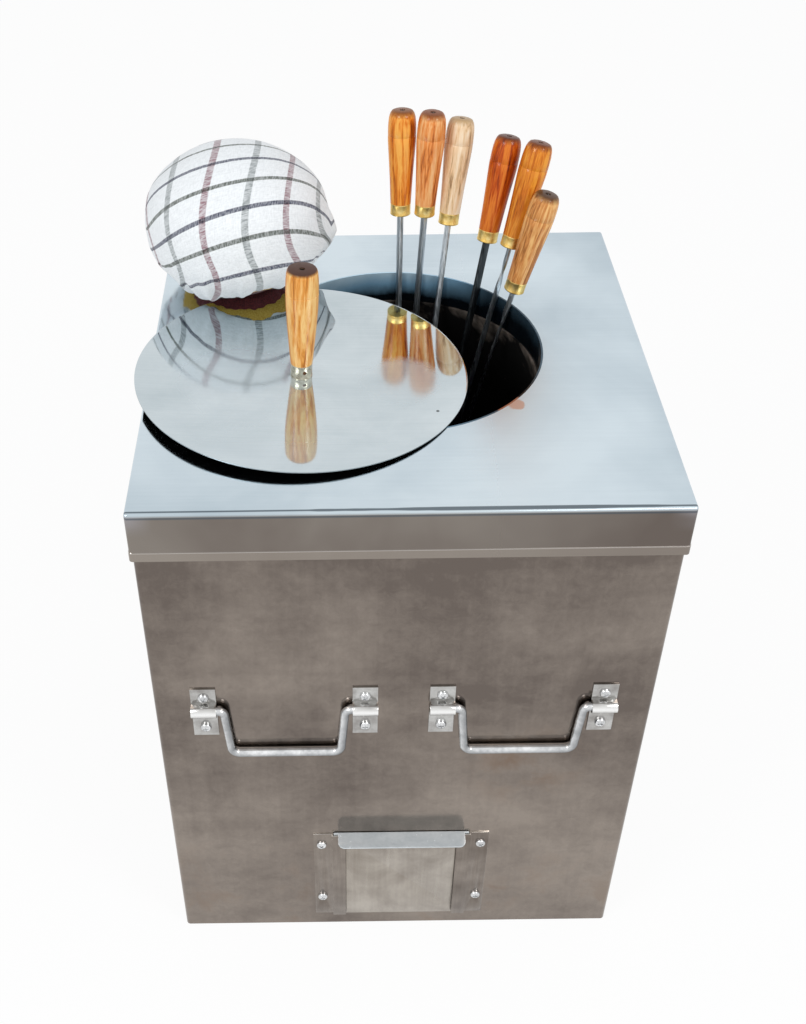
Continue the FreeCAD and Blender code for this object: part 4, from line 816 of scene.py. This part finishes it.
# the hem is uneven, and at the front left it sags almost to the lid
HEM_WAVES = (14, 1.5, 3, 1)
HEM_DEPTH = 1.6
SAG_BEARING, SAG_SPREAD = -117.0, 26.0
SAG_DEPTH = 8.0
sag = SAG_DEPTH * np.exp(-(off_bearing(bearing, SAG_BEARING) / math.radians(SAG_SPREAD)) ** 2)
spots[:, 2] += low * (HEM_DEPTH * uneven_waves(bearing, *HEM_WAVES) - sag)
spots[:, 0] += push * np.cos(bearing)
spots[:, 1] += push * np.sin(bearing)
put_points(cushion, spots / 1000)

# where each point lies on the flat cloth, counted in stripes: the crossing stripes run front to back,
# lean a little, and bow to the right above and below a level two thirds up
x, y, z = spots.T
PAD_RISE = 5.0
z = z - PAD_RISE
PAD_BALL = 86.0
PAD_BELLY = 55.0
CROSSING_GAP = 35.25
FIRST_CROSSING = -56.4
CROSSING_LEAN = 0.036
CROSSING_BOW, BOW_LEVEL, BOW_FADES_BELOW = 0.0052, 80.0, 40.0
bowed = CROSSING_BOW * (z - BOW_LEVEL) ** 2 * np.clip(z / BOW_FADES_BELOW, 0, 1)
across = (x - CROSSING_LEAN * y - bowed) / PAD_BALL
crossing = (PAD_BALL * np.arcsin(np.clip(across, -0.999, 0.999)) - FIRST_CROSSING) / CROSSING_GAP
# the others run round the front, rising to the right and bowed about a line right of the middle
LEAST_SECTION = 20.0
ROUND_MIDDLE, ROUND_RISE, ROUND_BOW = 13.0, 0.4286, 0.0049
ROUND_START = 4.2
section = np.sqrt(np.maximum(PAD_RADIUS ** 2 - x ** 2, LEAST_SECTION ** 2))
beside = x - ROUND_MIDDLE
# the front and back of the cloth meet under the belly: the count breaks there, and no stripe shows in
# the join
angle = np.arctan2(z - PAD_BELLY, -y)
angle = np.where(angle < -math.pi / 2, angle + 2 * math.pi, angle)
over = section * (math.pi / 2 - angle) - ROUND_START + ROUND_RISE * beside + ROUND_BOW * beside ** 2
STRIPES_AT = [-290, -235, -182, -132, -88, -49, -12, 22, 54, 83, 110, 142, 189, 262, 330]
TOP_STRIPE = 6
rounds = np.interp(over, STRIPES_AT, np.arange(len(STRIPES_AT)) - TOP_STRIPE)
spacing = np.interp(over, STRIPES_AT, np.gradient(STRIPES_AT))
JOIN_HALF_WIDTH = 4.0
NO_STRIPE = 900.0
spacing = np.where((np.abs(y) < JOIN_HALF_WIDTH) & (z < PAD_BELLY), NO_STRIPE, spacing)
note = cushion.data.attributes.new("stripes", "FLOAT_VECTOR", "POINT")
for point, counts in zip(note.data, zip(crossing, rounds, spacing)):
    point.vector = counts
bpy.ops.object.shade_smooth()
cushion.data.transform(pad_place)

check_cotton, tree, shader, _ = finish_named("woven_check_cotton")
stripes = add(tree, "Attribute", attribute_name="stripes").outputs["Vector"]
count = add(tree, "SeparateXYZ", {"Vector": stripes})
# threads about 0.5 mm wide are too fine to show, so they are drawn 1.1 mm wide and 5 mm long
ROUND_GAP = 30.0
weave = []
for wide, deep in ((1.1, 5.0), (5.0, 1.1)):
    laid = add(tree, "Mapping", {"Vector": stripes, "Scale": (CROSSING_GAP / wide, ROUND_GAP / deep, 1.0)})
    weave.append(add(tree, "TexNoise", {"Vector": laid, "Scale": 1.0, "Detail": 2.0}))
warp, weft = weave
threads = add(tree, "Math", {0: warp, 1: weft}, operation="ADD")
halved = add(tree, "Math", {0: threads, 1: 0.5}, operation="MULTIPLY")
cloth = add(tree, "ValToRGB", {"Fac": halved}, [(0.28, "#DDE0E2"), (0.62, "#F3F6F8")])
STRIPE_BLUR = 0.3
for direction, gap, half_width, odd, even, speckle, least, most in (
        ("X", CROSSING_GAP, 2.9, "#884655", "#878D8D", weft, 0.40, 0.85),
        ("Y", count.outputs["Z"], 2.2, "#182148", "#50574C", warp, 0.65, 0.95)):
    number = add(tree, "Math", {0: count.outputs[direction], 1: 0.5}, operation="ADD")
    share = add(tree, "Math", {0: number}, operation="FRACT")
    centred = add(tree, "Math", {0: share, 1: 0.5}, operation="SUBTRACT")
    away = add(tree, "Math", {0: centred}, operation="ABSOLUTE")
    away_mm = add(tree, "Math", {0: away, 1: gap}, operation="MULTIPLY")
    inside = add(tree, "MapRange", {"Value": away_mm, "From Min": half_width + STRIPE_BLUR,
                                    "From Max": half_width - STRIPE_BLUR})
    whole = add(tree, "Math", {0: number}, operation="FLOOR")
    parity = add(tree, "Math", {0: whole, 1: 2.0}, operation="FLOORED_MODULO")
    dye = add(tree, "Mix", {SHARE: parity, UNDER: linear(even), OVER: linear(odd)}, data_type="RGBA")
    # white threads cross the dyed ones, so a stripe covers only part of the ground
    cover = add(tree, "MapRange", {"Value": speckle, "From Min": 0.36, "From Max": 0.6, "To Min": most,
                                   "To Max": least})
    strength = add(tree, "Math", {0: inside, 1: cover}, operation="MULTIPLY")
    cloth = add(tree, "Mix", {SHARE: strength, UNDER: cloth, OVER: dye}, data_type="RGBA",
                blend_type="MULTIPLY")
woven = add(tree, "Bump", {"Height": threads, "Strength": 0.3, "Distance": 0.0004})
feed(shader, {"Roughness": 0.92, "Sheen Weight": 0.25, "Sheen Roughness": 0.5, "Base Color": cloth,
              "Normal": woven})
fit(cushion, check_cotton, "check_cotton", "bread_pad", "bread_pad")


# Pad base: a shallow dish of maroon cloth over a wooden disc, gathered in pleats round its side and sewn
# to the underside of the cushion.
pleated = drawn_up("pad_pleated_base", [
    (3.0, 0.2), (12.0, 0.2), (22.0, 0.2), (30.0, 0.2), (34.0, 0.6), (36.6, 2.6), (39.6, 5.2), (43.0, 8.0),
    (45.0, 9.6), (42.0, 10.6)], 144)
# the pleats start just above the flat bottom, and their depths are shares of the radius
PLEATS_FROM, PLEATS_FULL_IN = 0.3, 4.0
NARROW_PLEAT, BROAD_PLEAT = 0.014, 0.010
spots = points_of(pleated) * 1000
bearing = np.arctan2(spots[:, 1], spots[:, 0])
side = np.clip((spots[:, 2] - PLEATS_FROM) / PLEATS_FULL_IN, 0.0, 1.0)
pleat = (1.0 + NARROW_PLEAT * side * uneven_waves(bearing, 30, 1.3, 4)
         - BROAD_PLEAT * side * np.sin(13 * bearing + 1))
spots[:, 0] *= pleat
spots[:, 1] *= pleat
put_points(pleated, spots / 1000)
# its threads are too fine to show, so they are drawn 1.2 mm wide
maroon_cotton = mottled_finish("maroon_cotton_pleated", (1.2, 1.2, 1.2), {"Detail": 3.0},
                               [(0.3, "#3F1014"), (0.7, "#7C2A2C")], None,
                               {"Roughness": 0.9, "Sheen Weight": 0.2}, bump=(0.5, 0.0004))
pleated.data.transform(pad_place)
fit(pleated, maroon_cotton, "base_cloth", "bread_pad", "pad_base")


# Pad binding: a yellow cotton tape about 11 mm wide, folded over the seam between the base and the
# cushion and puckered by its stitches.
tape = drawn_up("pad_tape", [
    (41.0, 7.6), (45.0, 8.2), (49.0, 10.6), (52.6, 13.2), (54.2, 14.8), (53.6, 16.0), (50.0, 16.6)], 144)
# its outer part follows the waves of the hem, and every stitch puckers it
TAPE_FOLLOWS_FROM, TAPE_FOLLOWS_IN = 42.0, 8.0
TAPE_DEPTH, PUCKER_DEPTH = 0.9, 0.3
STITCHES = 40
spots = points_of(tape) * 1000
bearing = np.arctan2(spots[:, 1], spots[:, 0])
outer = np.clip((np.hypot(spots[:, 0], spots[:, 1]) - TAPE_FOLLOWS_FROM) / TAPE_FOLLOWS_IN, 0.0, 1.0)
spots[:, 2] += outer * (TAPE_DEPTH * uneven_waves(bearing, *HEM_WAVES)
                        + PUCKER_DEPTH * np.sin(STITCHES * bearing))
put_points(tape, spots / 1000)
# its threads are drawn 1 mm wide, so that they show
yellow_tape = mottled_finish("yellow_cotton_tape", (1.0, 1.0, 1.0), {"Detail": 3.0},
                             [(0.3, "#A67A1E"), (0.7, "#E0BC58")], None, {"Roughness": 0.85})
tape.data.transform(pad_place)
fit(tape, yellow_tape, "binding", "bread_pad", "pad_binding")


# Studio: a wide pale floor, a white surround, two softboxes in front and above, and the camera where
# the photograph was taken from.
def shown_to_eye(tree):
    """One on rays from the camera, glossy rays and transmission rays, and nought on all others."""
    paths = add(tree, "LightPath")
    seen = add(tree, "Math", {0: paths.outputs["Is Camera Ray"], 1: paths.outputs["Is Glossy Ray"]},
               operation="MAXIMUM")
    return add(tree, "Math", {0: seen, 1: paths.outputs["Is Transmission Ray"]}, operation="MAXIMUM")


bpy.ops.object.select_all(action="DESELECT")
bpy.ops.mesh.primitive_plane_add(size=14, location=(0, 0, 0))
floor = bpy.context.object
floor.name = "studio_floor"
paper, tree, shader, _ = finish_named("white_paper_floor")
feed(shader, {"Base Color": linear("#F4F4F4"), "Roughness": 0.9})
# the floor is shown nearly white, with a trace of the shadow
FLOOR_WHITE = 0.93
part_shown = add(tree, "Math", {0: shown_to_eye(tree), 1: FLOOR_WHITE}, operation="MULTIPLY")
white = add(tree, "Emission", {"Color": (1, 1, 1, 1), "Strength": 1.0})
seen_floor = add(tree, "MixShader", {0: part_shown, 1: shader, 2: white})
feed(tree.nodes["Material Output"], {"Surface": seen_floor})
floor.data.materials.append(paper)

world = bpy.data.worlds.new("studio_surround")
bpy.context.scene.world = world
world.use_nodes = True
tree = world.node_tree
tree.nodes.clear()
lit = add(tree, "Background", {"Color": (0.95, 0.975, 1.0, 1), "Strength": 0.62})
backdrop = add(tree, "Background", {"Color": (1, 1, 1, 1), "Strength": 1.0})
surround = add(tree, "MixShader", {0: shown_to_eye(tree), 1: lit, 2: backdrop})
add(tree, "OutputWorld", {"Surface": surround})

LIT_POINT = Vector((0, 0, 0.4))
for name, spot, width, power in (("softbox_left", (-1.3, -1.2, 1.9), 0.8, 17.0),
                                 ("softbox_right", (1.1, -1.1, 1.7), 0.6, 12.0)):
    lamp = bpy.data.lights.new(name, "AREA")
    lamp.shape = "SQUARE"
    lamp.size = width
    lamp.energy = power
    holder = bpy.data.objects.new(name, lamp)
    holder.location = spot
    holder.rotation_euler = (LIT_POINT - Vector(spot)).to_track_quat("-Z", "Y").to_euler()
    bpy.context.scene.collection.objects.link(holder)

# The camera looks down by 39.7 degrees. The picture is 806 by 1024 pixels, its focal length is 1275
# pixels and its middle ray meets it at (332.9, 494.7).
LOOK_DOWN = 0.69252694
ROLL = -0.01314227
STANDPOINT = (-0.054857, -0.885037, 1.102456)
PICTURE_WIDTH, PICTURE_HEIGHT = 806, 1024
FOCAL_LENGTH = 1275.44
MIDDLE_RAY = (332.90, 494.70)
SENSOR = 36.0
view = bpy.data.cameras.new("photograph")
view.sensor_width = SENSOR
view.lens = FOCAL_LENGTH * SENSOR / PICTURE_HEIGHT
view.shift_x = (PICTURE_WIDTH / 2 - MIDDLE_RAY[0]) / PICTURE_HEIGHT
view.shift_y = (MIDDLE_RAY[1] - PICTURE_HEIGHT / 2) / PICTURE_HEIGHT
view.clip_end = 50.0
camera = bpy.data.objects.new("photograph", view)
bpy.context.scene.collection.objects.link(camera)
level = Matrix.Rotation(math.radians(90) - LOOK_DOWN, 4, "X")
camera.matrix_world = Matrix.Translation(STANDPOINT) @ level @ Matrix.Rotation(ROLL, 4, "Z")
bpy.context.scene.camera = camera
bpy.context.scene.view_settings.view_transform = "Standard"
